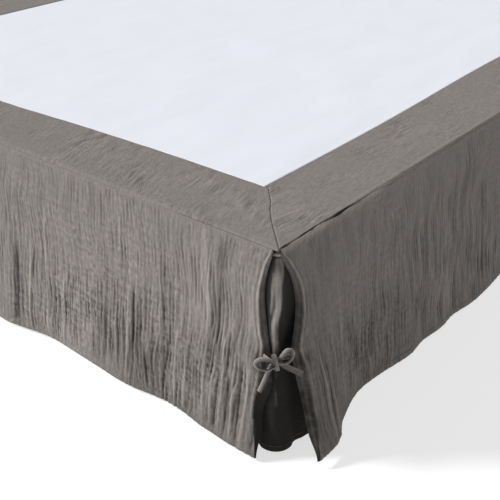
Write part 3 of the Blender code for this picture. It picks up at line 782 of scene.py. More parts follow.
def crinkle(across, down, rolling, broad, fine):
    """Height of the gauze's crinkles, for these heights of its three sizes in millimetres."""
    strength = np.clip(1.0 + UNEVEN * read_field(crinkle_strength, across, down), WEAKEST, STRONGEST)
    at = across + WANDER * read_field(crinkle_strength, down * 1.3, across * 0.7)
    at = at + SWAY * read_field(sway, across, down)
    height = (
        rolling * read_field(rolling_stripes, at, down)
        + broad * strength * ridged(read_field(broad_stripes, at, down))
        + fine * strength * ridged(read_field(fine_stripes, at, down))
        + fine * THIN_SHARE * strength * read_field(thin_stripes, at, down)
        + fine * CREPE_SHARE * read_field(crepe, across, down)
    )
    return height * MM


def painted_crinkle_shade(height, usual):
    """Painted shade in the crinkles' hollows and a painted highlight on their ridges, from the crinkles'
    height. The usual height is in millimetres.
    """
    return np.clip(0.5 + 0.10 * height / (usual * MM), 0.0, 1.0)


def painted_bands(value, rows):
    """Bands of painted highlight and painted shade. Each row is a strength, a middle and a width."""
    return sum(strength * hump(value, middle, width) for strength, middle, width in rows)


def turned_round(is_turned, *grids):
    """The grids, with their columns in the other order if is_turned, so that the front looks outward."""
    return [grid[:, ::-1] if is_turned else grid for grid in grids]


def graded(length, fine_until, fine_step, coarse_step):
    """Shares of a length from 0 to 1, in fine steps up to a place and in coarse ones after it."""
    fine = np.arange(0, fine_until, fine_step)
    coarse = np.linspace(fine_until, length, max(2, round((length - fine_until) / coarse_step)))
    return np.concatenate([fine, coarse]) / length


def on_surface(grid, thickness):
    """The grid raised to where stitches lie on its front."""
    half = np.broadcast_to(thickness, grid.shape[:2])[..., None] / 2
    return grid + grid_normals(grid) * (half + THREAD * THREAD_RAISED)


def gauze_sheet(name, node, grid, places, thickness, painted_shading, lines):
    """A sheet of the gauze, with a row of stitches along each of the lines."""
    piece = cloth_piece(name, node, grid, places, thickness, gauze.material, painted_shading)
    stitches = stitched(f"{name}_stitches", lines, gauze_thread)


def build_border(side, widths, steps, offset):
    """steps are shares of the strip's length. offset gives the strip its own place in the crinkles."""
    lying = np.linspace(0, 1, LYING_ROWS)
    rolled = np.linspace(0, 1, ROLL_ROWS + 1)[1:]
    corner_flat_end = SEAM_REACH - side.seam["roll"][0]
    row_reach = np.concatenate(
        [
            mix(-widths[0][1], corner_flat_end, lying),
            mix(corner_flat_end, SEAM_REACH, np.sin(rolled * math.pi / 2)),
        ]
    )
    mitre = (MITRE_FROM_FOOT, MITRE_FROM_SIDE) if side is FOOT else (MITRE_FROM_SIDE, MITRE_FROM_FOOT)
    start = np.where(row_reach < 0, np.interp(-row_reach, *mitre), -row_reach) + MITRE_GAP
    end = side.length - (start if side is FOOT else HEAD_SETBACK + 0 * start)
    along = mix(start[:, None], end[:, None], steps)
    width = curve_through(widths, along)
    roll, is_open, painted_gap_shadow = seam_looks(side, along, "roll", "open", "painted_gap_shadow")

    last_height = SEAM_HEIGHT + SEAM_GAP * is_open - SEAM_LAP * (1 - is_open)
    last_turn = np.arccos(np.clip((last_height - TOP + roll) / roll, -1, 1))
    turn = np.concatenate([0 * lying, rolled])[:, None] * last_turn
    lying_share = np.concatenate([lying, np.ones(len(rolled))])[:, None]
    reach = mix(-width, SEAM_REACH - roll, lying_share) + roll * np.sin(turn)
    smooth = at_side(side, along, reach, TOP - roll * (1 - np.cos(turn)))

    across, down = (along + 0.25 * reach + offset, 0.3 - reach) if side is FOOT else (offset - reach, along)
    fine = crinkle(across * BORDER_FINENESS, down * BORDER_FINENESS, 0, BORDER_BROAD, BORDER_FINE)
    patches = read_field(crinkle_strength, along * 1.7 + offset, -reach * 2.5)
    fine = fine * np.clip(0.80 + 0.75 * patches, 0.10, 2.2) * ramp(width + reach, 0, 0.006)
    rise = np.maximum(fine + crinkle(across, down, BORDER_ROLLING, 0, 0) + BORDER_LIFT, -0.0001)

    # Painted shade in the crinkles and a painted shadow in the seam's gap, a painted highlight on the edge
    # where the seam is shut, and on the long sides painted highlights on a line beside the seam and on the
    # roll
    painted_gap_shadow = painted_gap_shadow * (1 + 0.5 * read_field(sway, along * 1.6, 0.2 + 0 * along))
    painted_shading = painted_crinkle_shade(fine, 0.15) - SEAM_SHADE * painted_gap_shadow * ramp(reach, -0.0030, -0.0014)
    painted_shading = painted_shading + EDGE_LIGHT * (1 - is_open) * ramp(reach, -0.0004, 0.0004)
    if side is not FOOT:
        painted_shading = painted_shading + LINE_LIGHT * hump(reach, -0.0075, 0.0018) * ramp(along, 0.05, 0.15)
        painted_shading = painted_shading + ROLL_LIGHT * ramp(along, 0.16, 0.26) * ramp(reach, -0.0022, -0.0006)
    thickness = CLOTH * (1 - 0.5 * (1 - is_open) ** 2 * ramp(reach, -0.002, 0))
    smooth, places, rise, painted_shading, thickness = turned_round(
        side is not RIGHT, smooth, np.stack([across, down], axis=-1), rise, painted_shading, thickness
    )
    grid = smooth + grid_normals(smooth) * rise[..., None]
    surface = on_surface(grid, CLOTH)
    topstitched = np.argmin(np.abs(row_reach + TOPSTITCH_INSIDE))
    lines = [surface[1], surface[topstitched]]
    name, node = f"border_gauze_{side.name}", f"border_{side.name}"
    gauze_sheet(name, node, grid, places, thickness, painted_shading, lines)


build_border(FOOT, FOOT_BORDER_WIDTH, graded(FOOT.length, 0.80, 0.0023, 0.0040), 0.1)
build_border(RIGHT, SIDE_BORDER_WIDTH, graded(RIGHT.length, 1.30, 0.0034, 0.0042), 0.7)
build_border(LEFT, SIDE_BORDER_WIDTH, graded(LEFT.length, 1.20, 0.0042, 0.0050), 1.2)


# ---- Skirt panels ------------------------------
# Three panels of the same gauze, sewn to the border at the bed's edge, with a narrow hem just above the
# floor. Beside the two slits the cut edge is hemmed and curls back.

DROP = 0.3415
FLARE_POWER = 1.3
SLIT_BLEND = 0.100
TURN_POWER = 1.2
TURN_COLUMNS = 14
LOWEST = 0.0035
HEM_DEPTH = 0.012
HEM_EXTRA = 0.0009
HEM_STITCH = 0.0100
SLIT_STITCH_COLUMN = 3
SLIT_STITCH_START = 4
CREASE_RISE = 0.85
CREASE_WIDTH = 0.65
TIE_DOWN = 0.180
RIM_RISE = 0.0034
RIM_OUT = 0.0018
RIM_DEPTH = 0.0040
LAP_TUCK = 0.0006
# How far along each side, in metres, and how far out the hem hangs there, in millimetres
FOOT_FOLDS = [
    (0, 42), (0.11, 37), (0.2, 24.5), (0.29, 34), (0.41, 26.5), (0.5, 22.5), (0.6, 39.5), (0.7, 28),
    (0.8, 33), (0.9, 22), (1.01, 35), (1.12, 24), (1.22, 31), (1.31, 27), (1.4, 39),
]
RIGHT_FOLDS = [
    (0, 77), (0.06, 70), (0.12, 43), (0.19, 22), (0.25, 23), (0.34, 35), (0.39, 30), (0.45, 35),
    (0.5, 31), (0.57, 39), (0.66, 35), (0.79, 24), (0.91, 35), (1.02, 26), (1.14, 37), (1.26, 28),
    (1.37, 33), (1.49, 23), (1.62, 36), (1.75, 27), (1.9, 22),
]
LEFT_FOLDS = [
    (0, 74), (0.07, 64), (0.14, 36), (0.23, 24), (0.34, 35), (0.45, 25), (0.55, 33), (0.66, 28),
    (0.78, 38), (0.9, 25), (1.01, 31), (1.13, 23), (1.25, 37), (1.38, 29), (1.5, 34), (1.63, 24),
    (1.76, 33), (1.9, 24),
]
# Share of the drop, cut edge, fold, the fold's reach, and how far the edge is turned in behind it. All but
# the first are in millimetres.
FOOT_SLIT = [
    (0, 9, 12, 0.5, 0),
    (0.06, 14, 20.5, 1.4, 1),
    (0.13, 20, 26.5, 3.2, 2.8),
    (0.21, 23.5, 30.3, 5.6, 5),
    (0.29, 21, 29.8, 8.2, 6.6),
    (0.38, 15, 24.5, 11.4, 8),
    (0.46, 7, 17, 14.6, 7.4),
    (0.55, 3, 17.5, 18.2, 8.4),
    (0.64, 0, 21.5, 22.2, 10),
    (0.76, 11, 24.5, 27.8, 11.5),
    (0.88, 8, 16, 35, 9),
    (1, 6.5, 8.5, 42, 2),
]
SIDE_SLIT = [
    (0, 3, 6, 0.5, 0),
    (0.06, 10, 20, 2.4, 1.9),
    (0.13, 24, 33, 5.8, 5),
    (0.21, 34, 42, 10.5, 9.4),
    (0.29, 37, 42, 15.7, 13),
    (0.38, 26, 32, 21.8, 12),
    (0.46, 11, 19.5, 27.5, 10.5),
    (0.55, 11, 24.5, 34.5, 12.5),
    (0.64, 14, 28, 42.5, 15.5),
    (0.76, 16.5, 26, 52.5, 15.5),
    (0.88, 12.5, 23, 64, 13),
    (1, 6, 10, 76.5, 3),
]
# The main creases, in millimetres: from the corner, where each starts and ends down the drop, how far its
# foot drifts, its half width and its height. A hollow's height is below zero.
FOOT_CREASES = (
    (133, -30, 190, -18, 8.0, 1.3),
    (103, -10, 170, -8, 15.0, -1.4),
    (276, 130, 360, 3, 3.6, -2.0),
    (289, 130, 340, 2, 4.5, 2.0),
    (312, 20, 170, -4, 4.0, 1.3),
    (222, 140, 320, 0, 3.6, 1.9),
    (213, 150, 330, 0, 3.0, -1.4),
    (186, 180, 360, 0, 4.5, 1.7),
    (165, 210, 360, 2, 4.5, 1.7),
    (121, 170, 350, 0, 3.5, 1.8),
    (104, 150, 340, 0, 3.6, 2.2),
    (94, 160, 360, 0, 3.2, -1.8),
    (84, 130, 350, 0, 3.8, 2.6),
    (73, 140, 360, 0, 3.4, -2.2),
    (61, 160, 370, 0, 4.5, 2.3),
    (48, 170, 380, 0, 3.6, -1.8),
    (36, 170, 380, 0, 5.0, 2.2),
    (535, 150, 360, 6, 5.0, 1.9),
    (492, 60, 370, 10, 5.0, 1.9),
    (452, 180, 360, 4, 4.5, 1.7),
    (572, 160, 360, 0, 9.0, -3.0),
    (405, 0, 150, 0, 3.0, -1.0),
    (700, 50, 350, 5, 5.0, 1.8),
    (830, 120, 360, -4, 4.5, -1.8),
    (960, 30, 300, 4, 5.0, 1.8),
    (1120, 140, 360, 0, 4.5, 2.0),
    (1260, -20, 220, 10, 7.0, 2.2),
    (1320, 150, 370, 0, 4.0, 2.2),
)
SIDE_CREASES = (
    (56, 160, 380, 4, 4.5, 2.2),
    (67, 170, 380, 4, 3.6, -1.5),
    (78, 170, 380, 2, 4.5, 2.0),
    (104, 130, 360, 0, 5.0, 1.7),
    (136, 100, 340, 0, 5.0, 1.3),
    (205, 10, 140, -4, 3.6, -1.2),
    (192, 200, 300, 0, 3.6, -1.4),
    (402, 90, 230, 0, 4.0, -1.3),
    (500, 40, 220, 0, 4.0, -1.1),
    (603, 80, 320, 3, 6.0, -2.4),
    (760, 40, 340, 4, 5.0, 1.6),
    (980, 100, 360, -3, 5.0, -1.7),
    (1200, 20, 280, 4, 5.5, 1.7),
    (1430, 120, 360, 0, 4.5, 1.9),
    (1680, 50, 320, -4, 5.0, -1.6),
)
# How high the crinkles are down the drop: the broad ones and the fine ones, in millimetres
CRINKLE_DOWN = (
    (0.0, 0.06, 0.36),
    (0.08, 0.20, 0.48),
    (0.18, 0.48, 0.60),
    (0.27, 1.00, 0.85),
    (0.35, 0.95, 0.80),
)
# How high the crinkles that cross the others are, from the seam to the hem, in millimetres
CROSS_RISE = (0.18, 0.34)
PUCKER, PUCKER_AT_RIM, PUCKER_DEPTH = 0.08, 0.20, 0.010
# Painted light and shade on the hem beside the slit: a painted highlight on the fold, painted shade in a
# groove and a painted highlight on a ridge, fainter below the tie
SLIT_HEM_BANDS = ((0.62, 0.0006, 0.0017), (-0.24, 0.0050, 0.0018), (0.14, 0.0098, 0.0025))
SLIT_HEM_BELOW = 0.35
# How strong a panel's crinkles and creases are, how much painted shade falls on its low part, its tie's
# place and the strip turned in behind the slit, and how strong the painted light and shade on the hem beside
# its slit are
Look = namedtuple("Look", "broad fine cross creases rolling low_shade slit_hem tie_shade strip low_strip")
FOOT_LOOK = Look(1.0, 1.0, 1.0, 1.0, 0.22, 0.27, 1.0, 0.70, 0.48, 0.26)
SIDE_LOOK = Look(0.42, 0.85, 0.5, 0.75, 0.07, 0.15, 0.7, 0.40, 0.33, 0.12)


def even_runs(stops, steps):
    """A column of places from the first stop to the last one, with this many even steps between each two."""
    runs = [np.linspace(start, end, count + 1)[1:] for start, end, count in zip(stops, stops[1:], steps)]
    return np.concatenate([stops[:1], *runs])[:, None]


def crease_height(creases, along, down):
    """Height of the main creases at these places. Each fades out at its ends."""
    total = np.zeros(along.shape)
    for crease in creases:
        from_corner, start, end, drift, half_width, rise = np.array(crease) * MM
        share = (down - start) / (end - start)
        middle = from_corner + drift * share + 0.0015 * np.sin(share * 7 + from_corner * 90)
        fade = ramp(share, 0, 0.25) * ramp(share, 1, 0.75)
        total += CREASE_RISE * rise * fade * hump(along, middle, CREASE_WIDTH * half_width)
    return total


def panel_layout(side, folds, slit, far_columns, share):
    """For each point of the panel: how far along and how far out it is, and how far it is curled back."""
    edge, fold, fold_reach, turned_in = (curve_through(slit, share, column) * MM for column in (1, 2, 3, 4))
    bend = np.linspace(1, 0, TURN_COLUMNS + 1)[:-1] + 0 * fold
    turned = (mix(fold, edge, bend), fold_reach - turned_in * bend**TURN_POWER, bend)
    along = mix(fold, side.length - fold if side is FOOT else side.length, far_columns)
    blend = ramp(along - fold, 0, SLIT_BLEND)
    if side is FOOT:
        blend = blend * ramp(side.length - along - fold, 0, SLIT_BLEND)
    body = mix(SEAM_REACH, curve_through(folds, along) * MM, share**FLARE_POWER)
    parts = [turned, (along, mix(fold_reach, body, blend), 0 * along)]
    if side is FOOT:
        parts.append(turned_round(True, side.length - turned[0], *turned[1:]))
    return *(np.concatenate(columns, axis=1) for columns in zip(*parts)), fold


def panel_height(side, look, creases, across, down, offset):
    """Height of the panel's crinkles and creases."""
    along = across - offset
    broad, fine = (curve_through(CRINKLE_DOWN, down, column) for column in (1, 2))
    height = crinkle(across, down, 0.0, broad * look.broad, fine * look.fine)
    cross = 0.5 * read_field(fine_stripes, down * 0.9 + offset, across * 0.9)
    cross = cross + read_field(crepe, down * 0.9, across + offset)
    cross = cross * np.clip(0.5 + 0.6 * read_field(crinkle_strength, across + 0.3, down), 0, 1.4)
    height = height + look.cross * mix(*CROSS_RISE, ramp(down, 0.10, 0.28)) * MM * cross
    if side is FOOT:
        height = height * mix(1.0, 0.70, ramp(corner_distance(side, along), 0.38, 0.50))
    return height + crease_height(creases, along, down) * look.creases


def panel_shades(side, look, along, down, curl, fold, rim):
    """Painted light and shade on the panel beyond its crinkles' own: painted shade low down, on a long panel
    all over and more near its slit, round the tie and on the strip turned in behind the slit, and painted
    highlights on the slit's hem, on the seam allowance's rim and along the curl.
    """
    share = down / DROP
    from_corner = corner_distance(side, along)
    from_fold = from_corner - fold
    shade = -look.low_shade * ramp(down, 0.12, 0.26) * ramp(from_corner, 0.45, 0.25)
    above_tie = ramp(share, 0, 0.08) * ramp(share, 0.58, 0.50)
    slit_hem = painted_bands(from_fold, SLIT_HEM_BANDS) * (curl < 0.2) * look.slit_hem
    shade = shade + slit_hem * mix(SLIT_HEM_BELOW, 1.0, above_tie)
    if side is not FOOT:
        # Painted shade: a long panel a little darker all over and more so near its slit
        shade = shade - 0.03 - 0.07 * ramp(along, 0.22, 0.10)
    shade = shade - look.tie_shade * hump(from_fold, 0.004, 0.010) * hump(down, TIE_DOWN, 0.016)
    # Painted highlight on the seam allowance's rim
    shade = shade + 0.75 * rim * hump(down, 0, 0.0026)
    strip = look.strip + look.low_strip * ramp(share, 0.60, 0.72)
    return shade - strip * ramp(curl, 0, 0.35) + 0.14 * hump(curl, 0.62, 0.10)


def build_skirt(side, folds, slit, creases, far_columns, offset):
    """far_columns are the shares of the panel between its folds or ends."""
    look = FOOT_LOOK if side is FOOT else SIDE_LOOK
    share = even_runs((0, 0.014, DROP - 0.016, DROP), (7, 77, 8)) / DROP
    along, reach, curl, fold = panel_layout(side, folds, slit, far_columns, share)
    height = SEAM_HEIGHT - np.sqrt(np.maximum((DROP * share) ** 2 - (reach - SEAM_REACH) ** 2, 0))
    down = np.broadcast_to(DROP * share, along.shape)
    roll, is_open, rim = seam_looks(side, along, "roll", "open", "rim")
    above = np.clip(height - (TOP - roll), 0, None)
    reach = reach - (roll - np.sqrt(np.maximum(roll**2 - above**2, 0)))
    reach = reach - LAP_TUCK * (1 - is_open) * hump(down, 0, 0.003)
    reach = reach + RIM_OUT * rim * hump(down, 0.002, RIM_DEPTH)
    rim = rim * (1 + 0.35 * read_field(sway, along * 2, 0 * along) + 0.6 * hump(along, 0.100, 0.016))
    height = height + RIM_RISE * rim * hump(down, 0, RIM_DEPTH)
    smooth = at_side(side, along, reach, height)

    across = along + offset
    fine = panel_height(side, look, creases, across, down, offset)
    pucker = (PUCKER + PUCKER_AT_RIM * rim) * MM * np.exp(-down / PUCKER_DEPTH)
    pucker = pucker * read_field(thin_stripes, across * 1.4, 0.1 + 0.2 * down)
    calm = ramp(down, 0, 0.012) * mix(1.0, 0.6, ramp(down, DROP - 0.02, DROP - 0.01))
    calm = calm * (1 - 0.8 * ramp(curl, 0, 0.3))
    rise = (fine + crinkle(across, down, look.rolling, 0.0, 0.0)) * calm + pucker * (1 - curl)
    rise = np.maximum(rise, -(0.0012 + 0.012 * down))
    # Painted shade in the crinkles' hollows and painted highlights on their ridges and on the puckers at the
    # seam
    painted_shading = painted_crinkle_shade(fine * calm + pucker, 0.42) + 0.30 * ramp(pucker, 0, 0.4 * MM)
    painted_shading = painted_shading + panel_shades(side, look, along, down, curl, fold, rim)

    smooth, places, rise, painted_shading, down = turned_round(
        side is not RIGHT, smooth, np.stack([across, down], axis=-1), rise, painted_shading, down
    )
    grid = smooth + grid_normals(smooth) * rise[..., None]
    grid[..., 2] = np.maximum(grid[..., 2], LOWEST)
    thickness = CLOTH + HEM_EXTRA * ramp(down, DROP - HEM_DEPTH, DROP - HEM_DEPTH + 0.0015)
    (surface,) = turned_round(side is not RIGHT, on_surface(grid, thickness))
    hem_row = np.argmin(np.abs(share * DROP - (DROP - HEM_STITCH)))
    slit_column = TURN_COLUMNS + SLIT_STITCH_COLUMN
    slit_lines = [surface[SLIT_STITCH_START:hem_row, slit_column]]
    hem_end = None
    if side is FOOT:
        slit_lines.append(surface[SLIT_STITCH_START:hem_row, -1 - slit_column])
        hem_end = -TURN_COLUMNS
    lines = [surface[hem_row, TURN_COLUMNS:hem_end], *slit_lines]
    name, node = f"skirt_gauze_{side.name}", f"skirt_{side.name}"
    gauze_sheet(name, node, grid, places, thickness, painted_shading, lines)


build_skirt(FOOT, FOOT_FOLDS, FOOT_SLIT, FOOT_CREASES, graded(FOOT.length, 0.62, 0.0016, 0.0034), 0.05)
build_skirt(RIGHT, RIGHT_FOLDS, SIDE_SLIT, SIDE_CREASES, graded(RIGHT.length, 0.65, 0.0018, 0.0036), 0.31)
build_skirt(LEFT, LEFT_FOLDS, SIDE_SLIT, SIDE_CREASES, graded(LEFT.length, 0.10, 0.0025, 0.0034), 0.77)


# ---- Corner insets ------------------------------
# A narrow panel behind each slit, sewn under the border's edge round the corner of the base. Its middle
# stands forward in the slit and its hem flares.

INSET_TOP = SEAM_HEIGHT - 0.003
INSET_DROP = 0.333
INSET_REACH = -0.0021
INSET_RADIUS = 0.012
INSET_HALF = 0.105
INSET_FOLDS = [
    (-0.115, 0.004), (-0.070, 0.012), (-0.034, 0.008), (-0.014, 0.019), (0.002, 0.025),
    (0.020, 0.019), (0.038, 0.024), (0.070, 0.026), (0.115, 0.006),
]
INSET_RIDGE = 0.007
INSET_RIDGE_WIDTH = 0.006
INSET_SEAM_ROLL = 0.0016
# Across the seam under the border: a painted shadow line, a painted highlight on its roll and a painted
# shadow line below that
INSET_SEAM_BANDS = ((-0.60, 0.0, 0.0016), (0.62, 0.0046, 0.0016), (-0.50, 0.0092, 0.0018))


def inset_shades(across, down, share, middle, offset):
    """Painted light and shade on the inset: painted shade over all of it, deeper below the tie, and painted
    highlights on its ridge and on a fainter one beside it, with a little random tone.
    """
    still = 0 * across
    lit = mix(1.95, 0.22, ramp(share, 0.42, 0.52)) * mix(0.45, 1.0, ramp(down, 0.020, 0.050))
    lit = lit * (1 + 0.22 * read_field(sway, 0.3 + still, 1.6 * down + offset))
    lit_width = mix(0.0080, 0.0023, ramp(share, 0, 0.26)) + 0.0040 * ramp(share, 0.45, 0.55)
    second = 0.35 + 0.30 * read_field(sway, 0.7 + still, 2.2 * down + offset)
    second = np.maximum(second, 0) * hump(across, middle - 0.0080, 0.0026)
    second = second * ramp(share, 0.08, 0.14) * ramp(share, 0.45, 0.30)
    shade = lit * hump(across, middle, lit_width) + second - 0.55 - 0.10 * ramp(share, 0.5, 0.6)
    shade = shade + 0.09 * read_field(thin_stripes, across + offset, down)
    return shade + painted_bands(down, INSET_SEAM_BANDS)


def build_inset(hand, mirror, offset):
    """The inset of one foot corner. Its left copy is mirrored."""
    share = even_runs((0, 0.06, 0.95, 1), (23, 49, 9))
    across = np.linspace(-INSET_HALF, INSET_HALF, 100) + 0 * share
    down = INSET_DROP * share + 0 * across
    middle = mix(0.0030, -0.0028, ramp(share, 0, 0.42)) + 0.0010 * np.sin(share * 31) * ramp(share, 0, 0.1)
    ridge = INSET_RIDGE * hump(across, middle, INSET_RIDGE_WIDTH) * ramp(share, 0, 0.2)
    flare = np.maximum((curve_through(INSET_FOLDS, across) - ridge) * share**2, 0)
    rise = crinkle(across + offset, down, 0.12, 0.25, 0.15) * ramp(down, 0, 0.03)
    _, roll_down, roll_width = INSET_SEAM_BANDS[1]
    seam_roll = INSET_SEAM_ROLL * hump(down, roll_down, roll_width)
    reach = INSET_REACH + ridge + flare + np.maximum(rise, -0.0006) + seam_roll
    # Straight along the foot, round the base's corner, and straight along the side
    half_arc = INSET_RADIUS * math.pi / 4
    turn = math.pi / 4 + across / INSET_RADIUS
    out = INSET_RADIUS + reach
    x = np.where(across < -half_arc, across + half_arc - INSET_RADIUS, out * np.sin(turn) - INSET_RADIUS)
    y = np.where(across < -half_arc, reach, out * np.cos(turn) - INSET_RADIUS)
    x = np.where(across > half_arc, reach, x)
    y = np.where(across > half_arc, half_arc - across - INSET_RADIUS, y)
    height = INSET_TOP - np.sqrt(np.maximum((INSET_DROP * share) ** 2 - flare**2, 0))
    painted_shading = inset_shades(across, down, share, middle, offset) + 0.35 * painted_crinkle_shade(rise, 0.2)
    grid, places, painted_shading = turned_round(
        mirror < 0,
        np.stack([mirror * (RIGHT_X + x), FOOT_Y - y, height], axis=-1),
        np.stack([across + offset, down], axis=-1),
        painted_shading,
    )
    hem = ramp(down, INSET_DROP - HEM_DEPTH, INSET_DROP - HEM_DEPTH + 0.0015)
    hem_row = np.argmin(np.abs(share * INSET_DROP - (INSET_DROP - HEM_STITCH)))
    lines = [on_surface(grid, CLOTH + HEM_EXTRA)[hem_row]]
    name, node = f"inset_gauze_{hand}", f"inset_{hand}"
    thickness = CLOTH + HEM_EXTRA * hem
    gauze_sheet(name, node, grid, places, thickness, painted_shading, lines)


build_inset("right", 1, 0.4)
build_inset("left", -1, 1.5)


# ---- Ties ------------------------------
# Narrow tapes of the same gauze, folded and stitched flat, one from each panel, tied in a bow at each
# corner. The foot tie makes one loop and a tail. The side tie goes round it and makes the others.

KNOT_HEIGHT = 0.176
KNOT_OUT = 0.018
KNOT_ALONG = -0.005
# In millimetres: how thick the tape is, how much its widest part puffs up, and the wrap round the knot
TAPE, TAPE_PUFF = 2.2, 1.7
WRAP_HALF_HEIGHT, WRAP_HALF_DEPTH, WRAP_WIDTH = 12.5, 5.0, 7.5
WRAP_LEAN = -0.2
TAPE_SIDES, TAPE_STEPS = 16, 8
# Millimetres along the corner, up and out from the knot, the way the flat side looks, and the width
FOOT_TIE = [
    (-15, 3, -13.5, (-0.9, 0, 0.5), 8.5),
    (-11.5, 2, -8, (-0.8, 0, 0.6), 8),
    (-6, 1, -3, (-0.5, 0, 1), 7),
    (0, 0, -1.6, (0, 0, 1), 6),
    (6, 3.8, -1.2, (-0.3, 0.4, 0.8), 6),
    (11, 11.5, -0.8, (-0.5, 0.4, 0.8), 7),
    (17, 18, -1, (-0.1, 0.6, 0.8), 8),
    (23.5, 16, -1.5, (0.5, 0.4, 0.8), 8.5),
    (24.5, 8, -1.5, (0.6, -0.1, 0.8), 8.5),
    (19.5, 0.5, 0.5, (0.3, -0.6, 0.8), 8),
    (13, -1.5, 2, (0, -0.4, 0.9), 7),
    (7, -1, 2, (0, -0.2, 1), 6),
    (0, 0, 1.6, (0, 0, 1), 6),
    (-6, -3.5, 1.6, (-0.1, 0.2, 1), 6),
    (-9.5, -12, 2, (-0.3, 0.15, 0.9), 7),
    (-14, -25, 2, (-0.45, 0.2, 0.85), 7.5),
    (-18.5, -38, 1, (-0.5, 0.25, 0.8), 7.5),
    (-22.5, -50, -0.5, (-0.5, 0.3, 0.8), 7.5),
]
FOOT_TIE_SECOND_PASS = 12
SIDE_TIE_ROOT = [
    (24, 4.5, -8, (0.2, 0, 1), 8.5),
    (17, 3.5, -7.2, (0.1, 0, 1), 8),
    (9, 1.8, -6.6, (0.1, 0, 1), 7),
    (2.5, 1.5, -5, (0, 0, 1), 6),
]
SIDE_TIE_LOOP = [
    (1, 2.6, 5.2, (0, 0.3, 1), 3.6),
    (-5, 5, 5.8, (0, 0.45, 0.9), 5),
    (-12, 8.6, 5.6, (0, 0.6, 0.8), 6.5),
    (-20, 9.4, 4, (-0.15, 0.6, 0.8), 7.5),
    (-27, 5, 2, (-0.5, 0.35, 0.8), 7.5),
    (-28.5, -1.5, 1.5, (-0.6, -0.2, 0.8), 7.5),
    (-23.5, -6.5, 4, (-0.3, -0.55, 0.8), 7),
    (-15.5, -7.5, 7.2, (0, -0.55, 0.8), 6.5),
    (-9.5, -6, 8.8, (0.1, -0.4, 0.9), 6),
    (-4.5, -4.2, 7.4, (0, -0.35, 0.9), 5),
    (1, -2.6, 5.2, (0, -0.3, 1), 3.6),
]
SIDE_TIE_TAIL = [
    (1.5, -3, -5, (0, 0, 1), 5),
    (8, -6.5, -6, (0, 0.3, 1), 7),
    (16, -10.5, -3.5, (-0.2, 0.3, 1), 8.5),
    (26, -14.5, 0.5, (-0.3, 0.4, 1), 8.5),
    (39, -20, 3.5, (-0.3, 0.4, 1), 8.5),
]
# Painted light and shade on a tie: its middle tone, and how much lighter one edge of the tape and darker the
# other are painted
TIE_TONE, TIE_PAINTED_LIGHT_SPREAD = 0.42, 0.55
# On the flat cloth: once round the tape, and from one ring to the next
TAPE_ROUND, TAPE_RING_STEP = 0.009, 0.002
SEAM_AROUND = 1


def tape_route(stops):
    """Points, face directions and widths on a smooth curve through the stops."""
    last = len(stops) - 1
    numbers = np.array([(*stop[:3], *stop[3], stop[4]) for stop in stops], float)
    places, others = numbers[:, :3], numbers[:, 3:]
    t = np.linspace(0, last, last * TAPE_STEPS + 1)
    i = np.minimum(t.astype(int), last - 1)
    share = (t - i)[:, None]
    start_slope = (places[i + 1] - places[np.maximum(i - 1, 0)]) / 2
    end_slope = (places[np.minimum(i + 2, last)] - places[i]) / 2
    points = hermite(places[i], places[i + 1], start_slope, end_slope, share)
    others = mix(others[i], others[i + 1], share)
    return points, unit(others[:, :3]), others[:, 3]


def tape_rings(points, faces, widths, closed=False):
    """Rings of points round a flat tape: two rounded folds, and a puffed flat on each side."""
    ahead = np.roll(points, -1, axis=0) - np.roll(points, 1, axis=0)
    if not closed:
        ahead = np.gradient(points, axis=0)
    across = unit(np.cross(ahead, faces))
    square = unit(np.cross(across, ahead))
    cosine, sine = circle(TAPE_SIDES)
    wide = np.copysign(np.abs(cosine) ** 0.80, cosine) / 2 * widths[:, None]
    deep = np.copysign(np.abs(sine) ** 0.85, sine) / 2 * (TAPE + TAPE_PUFF * ramp(widths[:, None], 6.2, 8.0))
    return points[:, None] + across[:, None] * wide[..., None] + square[:, None] * deep[..., None]


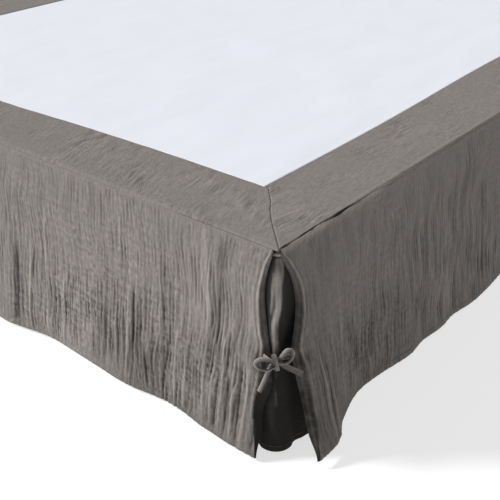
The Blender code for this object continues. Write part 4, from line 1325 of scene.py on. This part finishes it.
def build_tie(name, node, mirror, runs):
    """One tie from its runs: each run's rings in millimetres from the knot, whether it is closed, and for
    each ring which edge of the tape gets the painted highlight and which the painted shade, from -1 to 1. A
    row of stitches runs along each run."""
    along = np.array((mirror, 1.0, 0.0)) / math.sqrt(2)
    outward = np.array((mirror, -1.0, 0.0)) / math.sqrt(2)
    knot = np.array((mirror * RIGHT_X, FOOT_Y, KNOT_HEIGHT)) + along * KNOT_ALONG + outward * KNOT_OUT
    axes = np.array([along, (0.0, 0.0, 1.0), outward])
    placed = [(knot + (rings @ axes) * MM, closed) for rings, closed, _ in runs]
    around = TAPE_ROUND * np.arange(TAPE_SIDES) / TAPE_SIDES
    ring_places = [np.meshgrid(around, TAPE_RING_STEP * np.arange(len(rings))) for rings, _ in placed]
    places = np.concatenate([np.stack(pair, axis=-1).reshape(-1, 2) for pair in ring_places])
    painted_shading = [TIE_TONE + TIE_PAINTED_LIGHT_SPREAD * np.outer(lit, circle(TAPE_SIDES)[0]) for _, _, lit in runs]
    mesh = ringed_mesh(name, placed)
    mark_cloth(mesh, places, np.concatenate(painted_shading).ravel())
    piece = new_piece(name, node, mesh, gauze.material)
    stitches = stitched(
        f"{name}_stitches",
        [rings[:, SEAM_AROUND] for rings, _ in placed],
        gauze_thread,
        spacing=0.0030,
        length=0.0024,
        thread=0.00022,
    )


wrap_turn = np.linspace(0, 2 * math.pi, 40, endpoint=False)
wrap_up, wrap_out = np.cos(wrap_turn), np.sin(wrap_turn)
wrap_points = np.column_stack([WRAP_LEAN * wrap_up, wrap_up, wrap_out * WRAP_HALF_DEPTH / WRAP_HALF_HEIGHT])
wrap_points *= WRAP_HALF_HEIGHT
wrap_faces = unit(np.column_stack([0 * wrap_turn, wrap_up / WRAP_HALF_HEIGHT, wrap_out / WRAP_HALF_DEPTH]))
wrap_rings = tape_rings(wrap_points, wrap_faces, np.full(len(wrap_turn), WRAP_WIDTH), closed=True)
foot_rings = tape_rings(*tape_route(FOOT_TIE))
# Which edge of each tape gets the painted highlight and which the painted shade
foot_lit = np.where(np.arange(len(foot_rings)) < TAPE_STEPS * FOOT_TIE_SECOND_PASS, -1.0, 1.0)
side_runs = []
for stops, lit in ((SIDE_TIE_ROOT, -0.5), (SIDE_TIE_LOOP, 1.0), (SIDE_TIE_TAIL, -0.8)):
    rings = tape_rings(*tape_route(stops))
    side_runs.append((rings, False, np.full(len(rings), lit)))
side_runs.append((wrap_rings, True, np.full(len(wrap_rings), -0.9)))
for hand, mirror in (("right", 1), ("left", -1)):
    foot_run = (foot_rings, False, foot_lit)
    build_tie(f"tie_gauze_foot_{hand}", f"tie_foot_{hand}", mirror, [foot_run])
    build_tie(f"tie_gauze_side_{hand}", f"tie_side_{hand}", mirror, side_runs)
